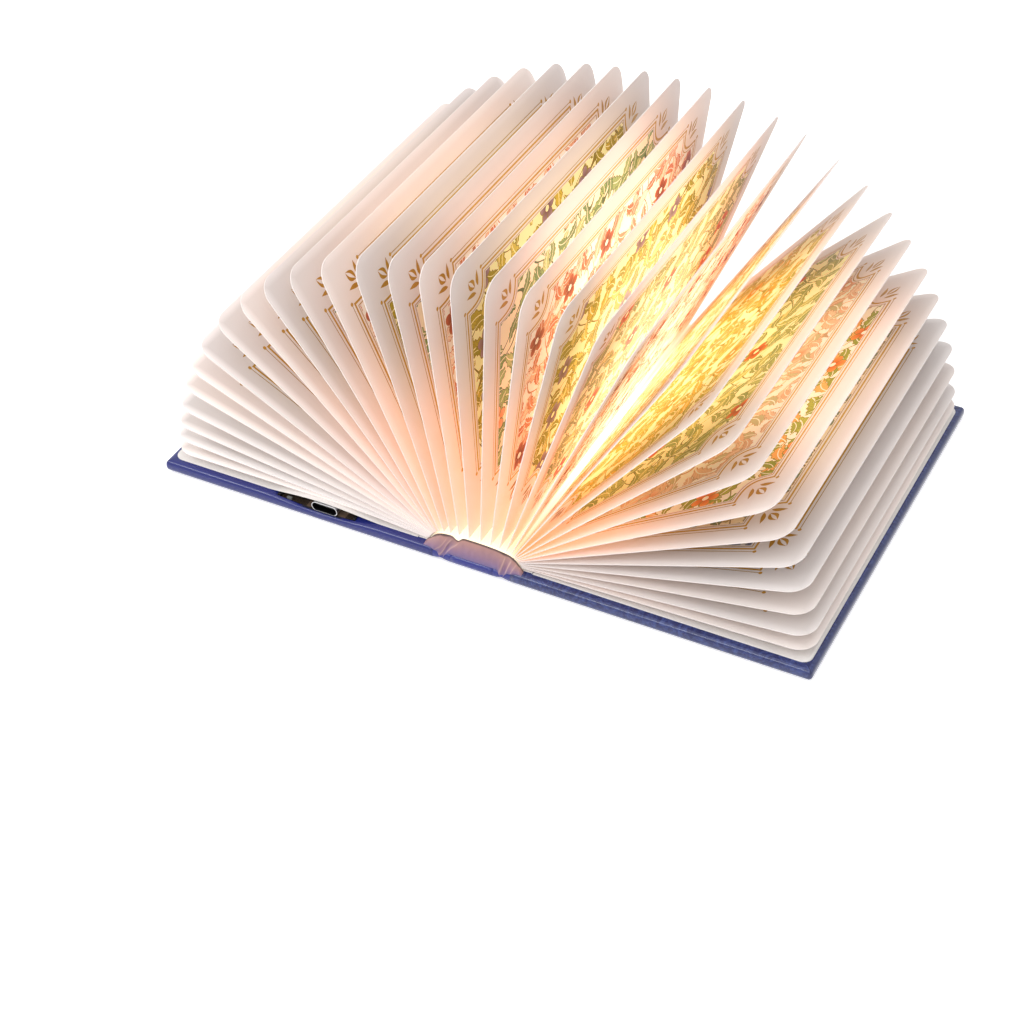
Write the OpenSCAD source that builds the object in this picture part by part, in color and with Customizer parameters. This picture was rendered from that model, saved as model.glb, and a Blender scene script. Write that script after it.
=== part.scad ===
// Folding book lamp, open flat: +X across the covers, +Y along the spine, +Z up.
// The origin is on the table, under the middle of the spine. All sizes are in mm.
// The front cover and its leaves are on the -X side, the back cover on the +X side.

/* [Covers] */
// height of the covers along the spine
cover_height = 140; // [130:150]
// width across both covers, lying open
open_width = 215.2; // [205:226]
// thickness of a covered board
cover_thickness = 4; // [3.8:0.05:4.2]
// covering paper round the boards
wrap_thickness = 0.35; // [0.3:0.01:0.4]
// rounding of the cover's long edges
edge_radius = 1.7; // [1.4:0.05:1.9]
// rounding of the cover's corners, seen from above
plan_radius = 1.2; // [0.8:0.1:2]
// covering paper turned over onto the inside
turn_in = 12; // [8:15]

/* [Spine and hinges] */
// hinge line from the middle of the spine
hinge_x = 9.7; // [9.6:0.05:9.9]
// height of the hinge line over the table
hinge_z = 1.6; // [1.5:0.05:1.7]
// thickness of the covered spine board
spine_thickness = 3.4; // [3.3:0.05:3.5]
// flat half-width of the spine board
spine_flat = 7.2; // [7.1:0.05:7.3]
// from the hinge line to the middle of a cover's rounded inner edge
cover_start = 3.2; // [3.2:0.05:3.4]

/* [Leaves] */
// cover past the leaves at the fore-edge
fore_margin = 1.8; // [1.6:0.1:6]
// cover past the leaves at the tail and the head
end_margin = 2.7; // [2.4:0.1:6]
// the two bonded sheets of a leaf together
leaf_thickness = 0.24; // [0.2:0.01:0.26]
// rounding of a leaf's outer corners
leaf_corner = 6; // [4:8]
// hollow the leaf block stands over the spine, open
arch_rise = 5.6; // [5.5:0.05:5.7]
// half-width of the leaf block's foot, open
arch_foot = 15.5; // [15.3:0.05:15.7]
// lean of the first leaf on the front cover's side, open
fan_front = 85.7; // [85.3:0.1:86]
// lean of the last leaf but one on the back cover's side, open
fan_back = 84.5; // [84:0.1:84.8]
// spacing of the outer leaves' bases, open
bunch_pitch = 0.41; // [0.4:0.005:0.42]
// film that joins the leaves' bases
film_thickness = 0.3; // [0.25:0.01:0.35]

/* [Light bar] */
// from the spine's end to the light bar's end
bar_inset = 8; // [6:0.5:12]
// width of the light bar
bar_width = 12.4; // [12:0.1:12.6]
// height of the light bar
bar_height = 2.8; // [2.7:0.05:2.85]
// number of light chips
chip_count = 18; // [12:22]

/* [Charging module] */
// middle of the charging port from the middle of the spine
port_x = 50.5; // [48:53]
// outside width of the port's shell
port_width = 8.94; // [8.8:0.02:9.1]
// outside height of the port's shell
port_height = 3.2; // [3.16:0.01:3.26]
// depth of the port's shell
port_depth = 7.35; // [7:0.05:8]
// top of the control board over the table
board_top_z = 3.1; // [3:0.05:3.15]
// rise of the endpaper over the module
blister_rise = 2.55; // [2.5:0.05:2.6]
// half-width of the endpaper's rise
blister_half = 19.5; // [19:0.1:20]
// dip in the cover's edge at the port
scoop_depth = 1.1; // [0.9:0.05:1.15]
// battery pouch across the cover
cell_width = 21; // [18:21]
// battery pouch along the spine
cell_length = 40; // [34:40]
// battery pouch thickness
cell_thickness = 3; // [2.6:0.05:3]

/* [Magnets] */
// diameter of a closing magnet
magnet_d = 8; // [6:9]
// thickness of a closing magnet
magnet_t = 1.5; // [1.2:0.05:1.6]
// middle of a magnet from the fore-edge
magnet_fore = 8.6; // [7:0.1:12]
// middle of a magnet from the cover's end
magnet_end = 18; // [14:25]

/* [Hidden] */
$fn = 64;
e = 0.02;
H = cover_height;
T = cover_thickness;
w = wrap_thickness;
XF = open_width / 2;                 // fore-edge
XI = hinge_x + cover_start;          // middle of the inner edge's rounding
ri = T / 2;
rs = spine_thickness / 2;
leaf_width = XF - arch_foot - fore_margin;
leaf_height = H - 2 * end_margin;
bar_length = H - 2 * bar_inset;
magnet_x = XF - magnet_fore;
magnet_y = H / 2 - magnet_end;
sensor_x = port_x - 4.3;             // the sensor lies under its magnet when the book is shut
leaf_seat = 0.18;                    // from the film to the middle of a leaf's base
pocket_z = 1.5;                      // floor of the pockets in the boards
// how far each leaf leans from upright, open: it eases in and out along the fan, with a
// little stray by hand, because leaves never part evenly. Rank 0 is next to the middle.
// The back cover's side has one leaf more, which nearly lies on its endpaper.
n_front = 15;
last = n_front - 1;
stray_front = [0, 0, 0, 0, 0.5, 0.5, 0, -0.5, 0, 1, 0.5, 0, 0.5, 0.5, 0];
stray_back = [-0.5, -0.5, 0, 0.5, 0, 1, 1.5, 1.5, 1, 1, 0.5, 0.5, 0.5, 0.5, 0.5, -1];
function ease(lean, lead, bow, r) = let (t = (r + lead) / (last + lead)) lean * t - bow * sin(360 * t);
function side(i) = i < n_front ? -1 : 1;
function rank(i) = side(i) > 0 ? i - n_front : n_front - 1 - i;
function leaf_angle(i) = let (r = rank(i)) side(i) < 0 ?
  90 + ease(fan_front, 0.87, 4.6, r) + stray_front[r] : 90 - ease(fan_back, 0.37, 2.7, r) - stray_back[r];
arch_z = T + 0.2;
AP = [for (p = [[0, 1], [0.225, 0.993], [0.45, 0.966], [0.62, 0.915], [0.735, 0.835],
  [0.826, 0.71], [0.89, 0.545], [0.942, 0.345], [0.981, 0.14], [1.01, 0.03]])
  [p[0] * arch_foot, arch_z + p[1] * arch_rise]];
function d2(a, b) = norm(b - a);
function upto(i) = i <= 0 ? 0 : upto(i - 1) + d2(AP[i - 1], AP[i]);
arch_len = upto(8);
function on_arch(s, i = 1) = (s <= upto(i) || i >= len(AP) - 1) ?
  AP[i - 1] + (AP[i] - AP[i - 1]) * ((s - upto(i - 1)) / d2(AP[i - 1], AP[i])) : on_arch(s, i + 1);
function arch_n(s) = let (a = on_arch(s - 0.4), b = on_arch(s + 0.4), d = (b - a) / d2(a, b))
  [-d[1], d[0]];
// the outer bases bunch at bunch_pitch down to the foot, the inner ones spread over the crown
bunch_s = arch_len * 0.974 - bunch_pitch * (last - 6);
function base_s(r) = r < 6 ? bunch_s * (1 - pow(1 - (r + 0.5) / 6.5, 1.9)) : bunch_s + bunch_pitch * (r - 6);
function leaf_base(i) = let (s = base_s(rank(i)),
  p = on_arch(s) + arch_n(s) * (film_thickness / 2 + leaf_seat)) [side(i) * p[0], p[1]];

module box(a, b) translate(a) cube(b - a);
module along_y(y0, y1) translate([0, y1, 0]) rotate([90, 0, 0]) linear_extrude(y1 - y0) children();
// a thin strip that follows the points p, t thick
function nrm(p, i) = let (a = p[max(i - 1, 0)], b = p[min(i + 1, len(p) - 1)], d = (b - a) / d2(a, b))
  [-d[1], d[0]];
function band(p, t) = concat([for (i = [0:len(p) - 1]) p[i] + nrm(p, i) * t / 2],
  [for (i = [len(p) - 1:-1:0]) p[i] - nrm(p, i) * t / 2]);
function arc(c, r, a0, a1, n) = [for (k = [0:n]) let (a = a0 + (a1 - a0) * k / n)
  [c[0] + r * cos(a), c[1] + r * sin(a)]];
// a slab from x0 to x1 with round long edges: r0 at x0 and r1 at x1, inset by d all round
module slab2d(x0, x1, t, r0, r1, d) difference() {
  translate([x0 + d, d]) square([x1 - x0 - 2 * d, t - 2 * d]);
  for (k = [[x0, r0, 1], [x1, r1, -1]]) for (s = [0, 1]) let (r = k[1])
    translate([k[0] + k[2] * r, s == 0 ? r : t - r]) difference() {
      translate([k[2] > 0 ? -r - 1 : 0, s == 0 ? -r - 1 : 0]) square([r + 1, r + 1]);
      circle(r - d);
    }
}
// the same slab with round tail and head edges and round corners on the x1 side
module slab(x0, x1, t, r0, r1, d, pr) intersection() {
  along_y(-H / 2 + d, H / 2 - d) slab2d(x0, x1, t, r0, r1, d);
  translate([x0 - 1, 0, 0]) rotate([90, 0, 90]) linear_extrude(x1 - x0 + 2)
    slab2d(-H / 2, H / 2, t, edge_radius, edge_radius, d);
  translate([0, 0, -1]) linear_extrude(t + 2) difference() {
    translate([x0 - 1, -H / 2]) square([x1 - x0 + 1, H]);
    for (s = [-1, 1]) translate([x1 - pr, s * (H / 2 - pr)]) difference() {
      translate([0, s > 0 ? 0 : -pr - 1]) square([pr + 1, pr + 1]);
      circle(pr - d);
    }
  }
}
// one cover on the +X side: its board's outline inset by d
module cover(d) slab(XI - ri, XF, T, ri, edge_radius, d, plan_radius);
module front() mirror([1, 0, 0]) children();
module wrap() difference() {
  cover(0);
  cover(w);
  box([XI - ri - 1, -H, -1], [XI, H, T + 1]);
  box([XI - 1, -H / 2 + turn_in, T / 2], [XF - turn_in, H / 2 - turn_in, T + 1]);
  box([XI - 1, -H, T / 2], [XI + 3.6, H, T + 1]);
}
module magnet_pockets(r) for (s = [-1, 1])
  translate([magnet_x, s * magnet_y, T - w - magnet_t - 0.1]) cylinder(r = r, h = magnet_t + 1);
// the dip in the cover's tail edge, and the pocket that holds the charging module
scoop_r = (pow(blister_half, 2) + pow(scoop_depth, 2)) / (2 * scoop_depth);
tray = [port_x - 10.3, -H / 2 + 0.8, pocket_z];
tray_x1 = port_x + 17;
board_y1 = -H / 2 + 20.5;             // head end of the control board
cell_y0 = board_y1 + 4.3;            // the cell starts past the board and its leads
tray_y1 = cell_y0 + cell_length + 1.2;
lead_y = [-H / 2 + 12.6, -H / 2 + 17.4];
module scoop() {
  intersection() {
    translate([port_x + 1, 0, T - scoop_depth + scoop_r]) rotate([90, 0, 0])
      cylinder(r = scoop_r, h = H, $fn = 360);
    box([port_x - 30, -H / 2 - 1, 0], [port_x + 32, -H / 2 + 5, T + 1]);
  }
  box([tray[0] - 0.1, -H / 2 - 1, T - scoop_depth], [tray_x1 - 1.2, -H / 2 + 5, T + 1]);
}
module pocket() {
  box([tray[0] - 0.1, tray[1] - 0.1, pocket_z - 0.05], [tray_x1 + 0.1, tray_y1 + 0.1, T + 1]);
  box([XI - ri - 1, lead_y[0] + 0.1, pocket_z], [tray[0] + 1, lead_y[1] - 0.1, T - w]);
}

module front_board() color([0.55, 0.5, 0.42]) front() difference() {
  cover(w + e);
  pocket();
  scoop();
  magnet_pockets(magnet_d / 2 + 0.1);
}
module front_wrap() color([0.09, 0.13, 0.46]) front() difference() {
  wrap();
  scoop();
  pocket();
}
module back_board() color([0.55, 0.5, 0.42]) difference() {
  cover(w + e);
  magnet_pockets(magnet_d / 2 + 0.1);
  translate([sensor_x, -H / 2 + 15, T - w - magnet_t - 0.1]) cylinder(r = 2.6, h = magnet_t + 1);
}
module back_wrap() color([0.1, 0.13, 0.34]) wrap();
module magnets() for (s = [-1, 1])
  translate([magnet_x, s * magnet_y, T - w - magnet_t - 0.07]) cylinder(r = magnet_d / 2, h = magnet_t);
module front_magnets() color([0.7, 0.7, 0.72]) front() magnets();
module back_magnets() color([0.7, 0.7, 0.72]) {
  magnets();
  translate([sensor_x, -H / 2 + 15, T - w - magnet_t - 0.07]) cylinder(r = 2.5, h = magnet_t);
}
// endpapers, the front one raised over the module
ep0 = arch_foot + 3.6;
ep1 = XF - 1.9;
ep_y = leaf_height / 2 + 0.1;
ep_r = 3;
module endpaper2d() difference() {
  translate([ep0, -ep_y]) square([ep1 - ep0, 2 * ep_y]);
  for (s = [-1, 1]) translate([ep1 - ep_r, s * (ep_y - ep_r)]) difference() {
    translate([0, s > 0 ? 0 : -ep_r - 1]) square([ep_r + 1, ep_r + 1]);
    circle(ep_r);
  }
}
module back_endpaper() color([0.95, 0.94, 0.9])
  translate([0, 0, T + e]) linear_extrude(0.25) endpaper2d();
bl_y = [tray_y1 + 1, tray_y1 + 18];
function bump(x) = let (u = abs(x - port_x - 1) / blister_half) u >= 1 ? 0 : pow(cos(90 * u), 1.2);
function fall(y) = y <= bl_y[0] ? 1 : y >= bl_y[1] ? 0 :
  0.5 + 0.5 * cos(180 * (y - bl_y[0]) / (bl_y[1] - bl_y[0]));
bx = [port_x + 1 - blister_half - 0.6, port_x + 1 + blister_half + 0.6];
nbx = 26;
nby = 10;
function byk(k) = k == 0 ? -ep_y : bl_y[0] + (bl_y[1] + 0.5 - bl_y[0]) * (k - 1) / (nby - 1);
function bxk(k) = bx[0] + (bx[1] - bx[0]) * k / nbx;
// a closed sheet 0.25 thick over the grid bxk by byk, raised by the bump
module blister() {
  n = nbx + 1;
  pts = [for (s = [0, 1]) for (j = [0:nby]) for (i = [0:nbx])
    [bxk(i), byk(j), T + e + 0.25 * s + blister_rise * bump(bxk(i)) * fall(byk(j))]];
  m = n * (nby + 1);
  function q(a, b, c, d) = [[a, b, c], [a, c, d]];
  top = [for (j = [0:nby - 1]) for (i = [0:nbx - 1]) let (a = m + j * n + i)
    each q(a, a + n, a + n + 1, a + 1)];
  bot = [for (j = [0:nby - 1]) for (i = [0:nbx - 1]) let (a = j * n + i)
    each q(a, a + 1, a + n + 1, a + n)];
  s0 = [for (i = [0:nbx - 1]) each q(i, i + m, i + m + 1, i + 1)];
  s1 = [for (i = [0:nbx - 1]) let (a = nby * n + i) each q(a, a + 1, a + 1 + m, a + m)];
  s2 = [for (j = [0:nby - 1]) let (a = j * n) each q(a, a + n, a + n + m, a + m)];
  s3 = [for (j = [0:nby - 1]) let (a = j * n + nbx) each q(a, a + m, a + n + m, a + n)];
  polyhedron(pts, concat(top, bot, s0, s1, s2, s3));
}
module front_endpaper() color([0.95, 0.94, 0.9]) front() {
  difference() {
    translate([0, 0, T + e]) linear_extrude(0.25) endpaper2d();
    box([bx[0], -H, 0], [bx[1], byk(nby), T + 5]);
  }
  blister();
}

// charging module in the front cover's pocket
module module_tray() color([0.08, 0.08, 0.09]) front() difference() {
  box(tray, [tray_x1, tray_y1, T - 0.1]);
  box([tray[0] + 0.8, tray[1] + 0.8, pocket_z + 0.8], [tray_x1 - 0.8, tray_y1 - 0.8, T + 1]);
  box([tray[0] - 1, -H, board_top_z], [tray_x1 + 1, tray[1] + 0.9, T + 1]);
  box([tray[0] - 1, lead_y[0] + 0.1, pocket_z + 0.05], [tray[0] + 1, lead_y[1] - 0.1, T + 1]);
}
module control_board() color([0.12, 0.22, 0.14]) front()
  box([tray[0] + 0.9, tray[1] + 0.82, pocket_z + 0.82], [tray_x1 - 1.1, board_y1, board_top_z]);
module port2d(d) {
  r = port_height / 2;
  for (s = [-1, 1]) translate([s * (port_width / 2 - r), 0]) circle(r - d);
  square([port_width - 2 * r, port_height - 2 * d], center = true);
}
module usb_c_port() color([0.75, 0.75, 0.77]) front()
  translate([port_x, 0, board_top_z + port_height / 2 + e]) {
    difference() {
      along_y(-H / 2 + 0.9, -H / 2 + 0.9 + port_depth) port2d(0);
      along_y(-H / 2, -H / 2 + 0.9 + port_depth - 0.8) port2d(0.3);
    }
    box([-3.35, -H / 2 + 2.2, -0.35], [3.35, -H / 2 + 0.9 + port_depth - 0.7, 0.35]);
  }
module battery() color([0.72, 0.73, 0.76]) front()
  box([port_x + 0.5 - cell_width / 2 + 0.7, cell_y0, pocket_z + 0.85],
    [port_x + 1.2 + cell_width / 2, cell_y0 + cell_length, pocket_z + 0.85 + cell_thickness]);
module charge_light() color([0.95, 0.95, 0.9]) front()
  box([port_x + 12.2, -H / 2 + 1.8, board_top_z + e], [port_x + 13.8, -H / 2 + 2.6, board_top_z + 0.75]);
module open_sensor() color([0.1, 0.1, 0.1]) front()
  box([sensor_x - 1.9, -H / 2 + 13.4, board_top_z + e], [sensor_x + 1.9, -H / 2 + 16.6, board_top_z + 1.1]);

// spine
module spine_solid(d) slab(-spine_flat - rs, spine_flat + rs, spine_thickness, rs, rs, d, 0.01 + d);
module lead_hole() box([-XI, lead_y[0] + 0.1, pocket_z - 0.05], [-3.4, lead_y[1] - 0.1, T + 0.9]);
module spine_board() color([0.55, 0.5, 0.42]) difference() {
  spine_solid(w + e);
  lead_hole();
}
module spine_wrap() color([0.1, 0.13, 0.4]) intersection() {
  difference() {
    spine_solid(0);
    spine_solid(w);
    box([-20, -H / 2 + turn_in - 2, 2], [20, H / 2 - turn_in + 2, 6]);
  }
  box([-spine_flat, -H, -1], [spine_flat, H, 9]);
}
module spine_lining() color([0.12, 0.13, 0.36]) difference() {
  box([-spine_flat, -H / 2 + turn_in - 2 + e, spine_thickness - w],
    [spine_flat, H / 2 - turn_in + 2 - e, spine_thickness]);
  lead_hole();
}
// joint cloth outside and lining inside, drawn on the +X side
cm = [XI, ri];
sm = [spine_flat, rs];
out_path = concat([[XI - e, w / 2 + e], [XI - 0.15, w / 2 + e]], arc(cm, ri - w / 2, -100, -155, 6),
  [[hinge_x + 0.2, hinge_z - 0.26]], arc(sm, rs - w / 2, -25, -80, 6),
  [[spine_flat + 0.15, w / 2 + e], [spine_flat + e, w / 2 + e]]);
in_path = concat([[XI + 3.5, T - w / 2]], arc(cm, ri - w / 2, 90, 160, 7), [[hinge_x + 0.2, hinge_z + 0.42]],
  arc(sm, rs - w / 2, 25, 84, 6), [[spine_flat + e, spine_thickness - w / 2]]);
module joint_out() along_y(-H / 2 + 0.5, H / 2 - 0.5) polygon(band(out_path, w - 0.06));
module joint_in() along_y(-H / 2 + 0.5, H / 2 - 0.5) polygon(band(in_path, w - 0.06));
module joint_cloth_back() color([0.1, 0.13, 0.36]) joint_out();
module joint_cloth_front() color([0.1, 0.13, 0.42]) front() joint_out();
module joint_lining_back() color([0.12, 0.13, 0.36]) joint_in();
module joint_lining_front() color([0.12, 0.13, 0.36]) front() joint_in();

// light bar on the spine
bz = spine_thickness + e;
bw = bar_width / 2;
bl = bar_length / 2;
module led_channel() color([0.8, 0.8, 0.82]) difference() {
  box([-bw, -bl, bz], [bw, bl, bz + bar_height - 0.3]);
  box([-bw + 0.7, -bl - 1, bz + 0.6], [bw - 0.7, bl + 1, bz + 4]);
  lead_hole();
}
module led_board() color([0.93, 0.93, 0.9]) difference() {
  box([-bw + 0.9, -bl + 0.5, bz + 0.6 + e], [bw - 0.9, bl - 0.5, bz + 1]);
  box([-20, lead_y[0], 0], [-3.3, lead_y[1], 9]);
}
module leds() color([1, 0.85, 0.5]) for (k = [0:chip_count - 1])
  translate([0, -bl + 4 + (bar_length - 8) * k / (chip_count - 1), bz + 1 + e])
    translate([-1.4, -1.75, 0]) cube([2.8, 3.5, 0.7]);
// the diffuser's top is a shallow crown
crown = 0.37;
crown_r = (pow(bw - 0.75, 2) + crown * crown) / (2 * crown);
module led_diffuser() color([1, 0.96, 0.88]) along_y(-bl + 0.1, bl - 0.1) intersection() {
  translate([-bw + 0.75, bz + 1.9]) square([bar_width - 1.5, 2]);
  translate([0, bz + bar_height - crown_r]) circle(crown_r, $fn = 720);
}
module led_cap() box([-bw, 0, bz], [bw, 1.4, bz + bar_height]);
module led_cap_tail() color([0.95, 0.95, 0.93]) translate([0, -bl - 1.42, 0]) led_cap();
module led_cap_head() color([0.95, 0.95, 0.93]) translate([0, bl + 0.02, 0]) led_cap();
// film arch that carries the bases of the leaves, glued down at both covers
half = concat([for (i = [0:8]) AP[i]], [[arch_foot + 0.1, arch_z + 0.12], [arch_foot + 0.7, arch_z],
  [arch_foot + 3.4, arch_z]]);
arch_path = concat([for (i = [len(half) - 1:-1:1]) [-half[i][0], half[i][1]]], half);
module block_lining() color([1, 0.95, 0.85]) along_y(-leaf_height / 2 + 0.2, leaf_height / 2 - 0.2)
  polygon(band(arch_path, film_thickness));
// flat lead from the control board, through the joint, to the light bar
lead_t = 0.25;
lead_path = [[-tray[0] - 3.4, board_top_z + 0.15], [-tray[0] - 1, board_top_z + 0.15],
  [-tray[0] + 0.6, board_top_z - 0.5], [-tray[0] + 1.6, hinge_z + 0.08],
  [-spine_flat + 1, hinge_z + 0.08], [-spine_flat + 1.7, 2.3], [-4.8, 3.3], [-4.2, bz + 1],
  [-3.5, bz + 1.16], [-2, bz + 1.16]];
module lamp_lead() color([0.85, 0.83, 0.78]) along_y(lead_y[0] + 0.5, lead_y[1] - 0.5)
  polygon(band(lead_path, lead_t));

module leaf(i) color([0.98, 0.94, 0.88]) let (b = leaf_base(i))
  translate([b[0], 0, b[1]]) rotate([0, -leaf_angle(i), 0])
    translate([0, 0, -leaf_thickness / 2]) linear_extrude(leaf_thickness) difference() {
      translate([0, -leaf_height / 2]) square([leaf_width, leaf_height]);
      for (s = [-1, 1]) translate([leaf_width - leaf_corner, s * (leaf_height / 2 - leaf_corner)])
        difference() {
          translate([0, s > 0 ? 0 : -leaf_corner - 1]) square([leaf_corner + 1, leaf_corner + 1]);
          circle(leaf_corner);
        }
    }

spine_board();
spine_wrap();
spine_lining();
led_channel();
led_board();
leds();
led_diffuser();
led_cap_tail();
led_cap_head();
joint_cloth_front();
joint_cloth_back();
joint_lining_front();
joint_lining_back();
block_lining();
lamp_lead();
front_board();
front_wrap();
front_endpaper();
module_tray();
control_board();
usb_c_port();
battery();
charge_light();
open_sensor();
front_magnets();
back_board();
back_wrap();
back_endpaper();
back_magnets();
leaf(0);  // leaf_01
leaf(1);  // leaf_02
leaf(2);  // leaf_03
leaf(3);  // leaf_04
leaf(4);  // leaf_05
leaf(5);  // leaf_06
leaf(6);  // leaf_07
leaf(7);  // leaf_08
leaf(8);  // leaf_09
leaf(9);  // leaf_10
leaf(10);  // leaf_11
leaf(11);  // leaf_12
leaf(12);  // leaf_13
leaf(13);  // leaf_14
leaf(14);  // leaf_15
leaf(15);  // leaf_16
leaf(16);  // leaf_17
leaf(17);  // leaf_18
leaf(18);  // leaf_19
leaf(19);  // leaf_20
leaf(20);  // leaf_21
leaf(21);  // leaf_22
leaf(22);  // leaf_23
leaf(23);  // leaf_24
leaf(24);  // leaf_25
leaf(25);  // leaf_26
leaf(26);  // leaf_27
leaf(27);  // leaf_28
leaf(28);  // leaf_29
leaf(29);  // leaf_30
leaf(30);  // leaf_31
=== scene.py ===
import math
import bpy
import numpy as np
from mathutils import Matrix, Vector


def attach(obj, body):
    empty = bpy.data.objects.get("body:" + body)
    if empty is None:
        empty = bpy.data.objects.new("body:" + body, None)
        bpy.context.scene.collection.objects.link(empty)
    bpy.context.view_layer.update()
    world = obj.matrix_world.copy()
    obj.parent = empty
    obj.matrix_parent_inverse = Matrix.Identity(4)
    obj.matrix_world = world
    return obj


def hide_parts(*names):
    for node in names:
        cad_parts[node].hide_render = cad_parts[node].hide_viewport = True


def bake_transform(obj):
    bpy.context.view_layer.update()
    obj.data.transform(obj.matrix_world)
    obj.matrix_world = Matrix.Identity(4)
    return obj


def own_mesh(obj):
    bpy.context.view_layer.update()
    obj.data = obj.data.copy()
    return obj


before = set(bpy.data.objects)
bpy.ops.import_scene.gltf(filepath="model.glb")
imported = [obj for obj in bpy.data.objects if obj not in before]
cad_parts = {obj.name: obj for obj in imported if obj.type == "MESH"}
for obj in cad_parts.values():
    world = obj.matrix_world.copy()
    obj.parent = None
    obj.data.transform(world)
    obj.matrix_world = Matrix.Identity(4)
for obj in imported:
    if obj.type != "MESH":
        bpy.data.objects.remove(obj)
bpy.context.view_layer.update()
scene = bpy.context.scene
scene.view_settings.view_transform = "Standard"


# ---- Camera ----------------------------------------------------------------------------------
# A long lens on a stand in front of the lamp's tail end, to the right and well above it,
# so that the fan of leaves is seen from the side that the light falls out of.
eye = Vector((0.2393, -0.5272, 0.4446))
heading = Vector((-0.4427, 0.8967, 0)).normalized()
pitch = math.radians(-39.27)
roll = math.radians(0.24)
look = heading * math.cos(pitch) + Vector((0, 0, math.sin(pitch)))
right = look.cross(Vector((0, 0, 1))).normalized()
up = right.cross(look)
turned_right = right * math.cos(roll) + up * math.sin(roll)
turned_up = turned_right.cross(look)
camera_data = bpy.data.cameras.new("camera")
camera_data.lens = 80.5
camera_data.sensor_width = 36
camera_data.clip_start = 0.01
camera_data.clip_end = 20
camera = bpy.data.objects.new("camera", camera_data)
camera.matrix_world = Matrix((
    (turned_right.x, turned_up.x, -look.x, eye.x),
    (turned_right.y, turned_up.y, -look.y, eye.y),
    (turned_right.z, turned_up.z, -look.z, eye.z),
    (0, 0, 0, 1)))
scene.collection.objects.link(camera)
scene.camera = camera


# ---- Studio ----------------------------------------------------------------------------------
# A white sweep table under big soft lights and one long strip, which draws a line of light
# along the round edges of the covers. The floor takes the shadow, and the room shows white.
def linear(code):
    """An sRGB hex colour as linear RGBA, by the sRGB curve."""
    parts = [int(code[i:i + 2], 16) / 255 for i in (1, 3, 5)]
    return tuple(c / 12.92 if c <= 0.04045 else ((c + 0.055) / 1.055) ** 2.4 for c in parts) + (1.0,)


def add(tree, kind, inputs=None, **settings):
    """Adds one shader node, sets its options, fills or links its inputs, and returns its outputs."""
    node = tree.nodes.new("ShaderNode" + kind)
    for name, value in settings.items():
        setattr(node, name, value)
    for key, value in (inputs or {}).items():
        if isinstance(value, bpy.types.NodeSocket):
            tree.links.new(value, node.inputs[key])
        else:
            node.inputs[key].default_value = value
    return node.outputs


def finish(name, **surface):
    """A new material with a Principled surface; returns it, its tree and the surface node."""
    material = bpy.data.materials.new(name)
    material.use_nodes = True
    tree = material.node_tree
    shader = tree.nodes["Principled BSDF"]
    for key, value in surface.items():
        shader.inputs[key.replace("_", " ")].default_value = value
    return material, tree, shader


def seen_directly(tree):
    """1 for camera, glossy and transmission rays, and 0 for the light that falls on things."""
    path = add(tree, "LightPath")
    shiny, through = path["Is Glossy Ray"], path["Is Transmission Ray"]
    shiny = add(tree, "Math", {0: shiny, 1: through}, operation="MAXIMUM")[0]
    return add(tree, "Math", {0: path["Is Camera Ray"], 1: shiny}, operation="MAXIMUM")[0]


room_light = 0.55
floor_half = 6.0
floor_drop = 0.0002
floor_shine = 0.5
world = bpy.data.worlds.new("studio")
scene.world = world
world.use_nodes = True
world_tree = world.node_tree
room = world_tree.nodes["Background"]
room.inputs["Color"].default_value = linear("#ffffff")
room_level = add(world_tree, "MapRange", {0: seen_directly(world_tree), 3: room_light, 4: 1.0})
world_tree.links.new(room_level[0], room.inputs["Strength"])

floor_mesh = bpy.data.meshes.new("floor")
floor_corners = [(x * floor_half, y * floor_half, 0) for x, y in ((-1, -1), (1, -1), (1, 1), (-1, 1))]
floor_mesh.from_pydata(floor_corners, [], [(0, 1, 2, 3)])
floor = bpy.data.objects.new("floor", floor_mesh)
floor.location.z = -floor_drop
scene.collection.objects.link(floor)
table, table_tree, table_surface = finish("white_table", Roughness=0.9)
table_surface.inputs["Base Color"].default_value = linear("#f7f7f7")
table_surface.inputs["Emission Color"].default_value = linear("#ffffff")
lift = add(table_tree, "MapRange", {0: seen_directly(table_tree), 3: 0.0, 4: floor_shine})
table_tree.links.new(lift[0], table_surface.inputs["Emission Strength"])
floor_mesh.materials.append(table)

for lamp_name, place, aim, width, height, watts in (
        ("top_softbox", (0.2, -0.1, 1.5), (0, 0, 0), 1.4, 1.4, 5.8),
        ("front_softbox", (0.6, -1.5, 0.9), (0, 0, 0.03), 1.0, 1.0, 3.7),
        ("left_softbox", (-1.5, -0.3, 0.8), (0, 0, 0.03), 0.9, 0.9, 5.4),
        ("right_softbox", (1.4, 0.3, 1.0), (0, 0, 0.03), 0.9, 0.9, 1.8),
        ("edge_strip", (-0.45, -0.80, 0.88), (0, 0, 0), 1.2, 0.12, 5.0)):
    lamp_data = bpy.data.lights.new(lamp_name, "AREA")
    lamp_data.shape = "RECTANGLE"
    lamp_data.size = width
    lamp_data.size_y = height
    lamp_data.energy = watts
    lamp = bpy.data.objects.new(lamp_name, lamp_data)
    lamp.location = place
    lamp.rotation_euler = (Vector(aim) - Vector(place)).to_track_quat("-Z", "Y").to_euler()
    scene.collection.objects.link(lamp)


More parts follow.
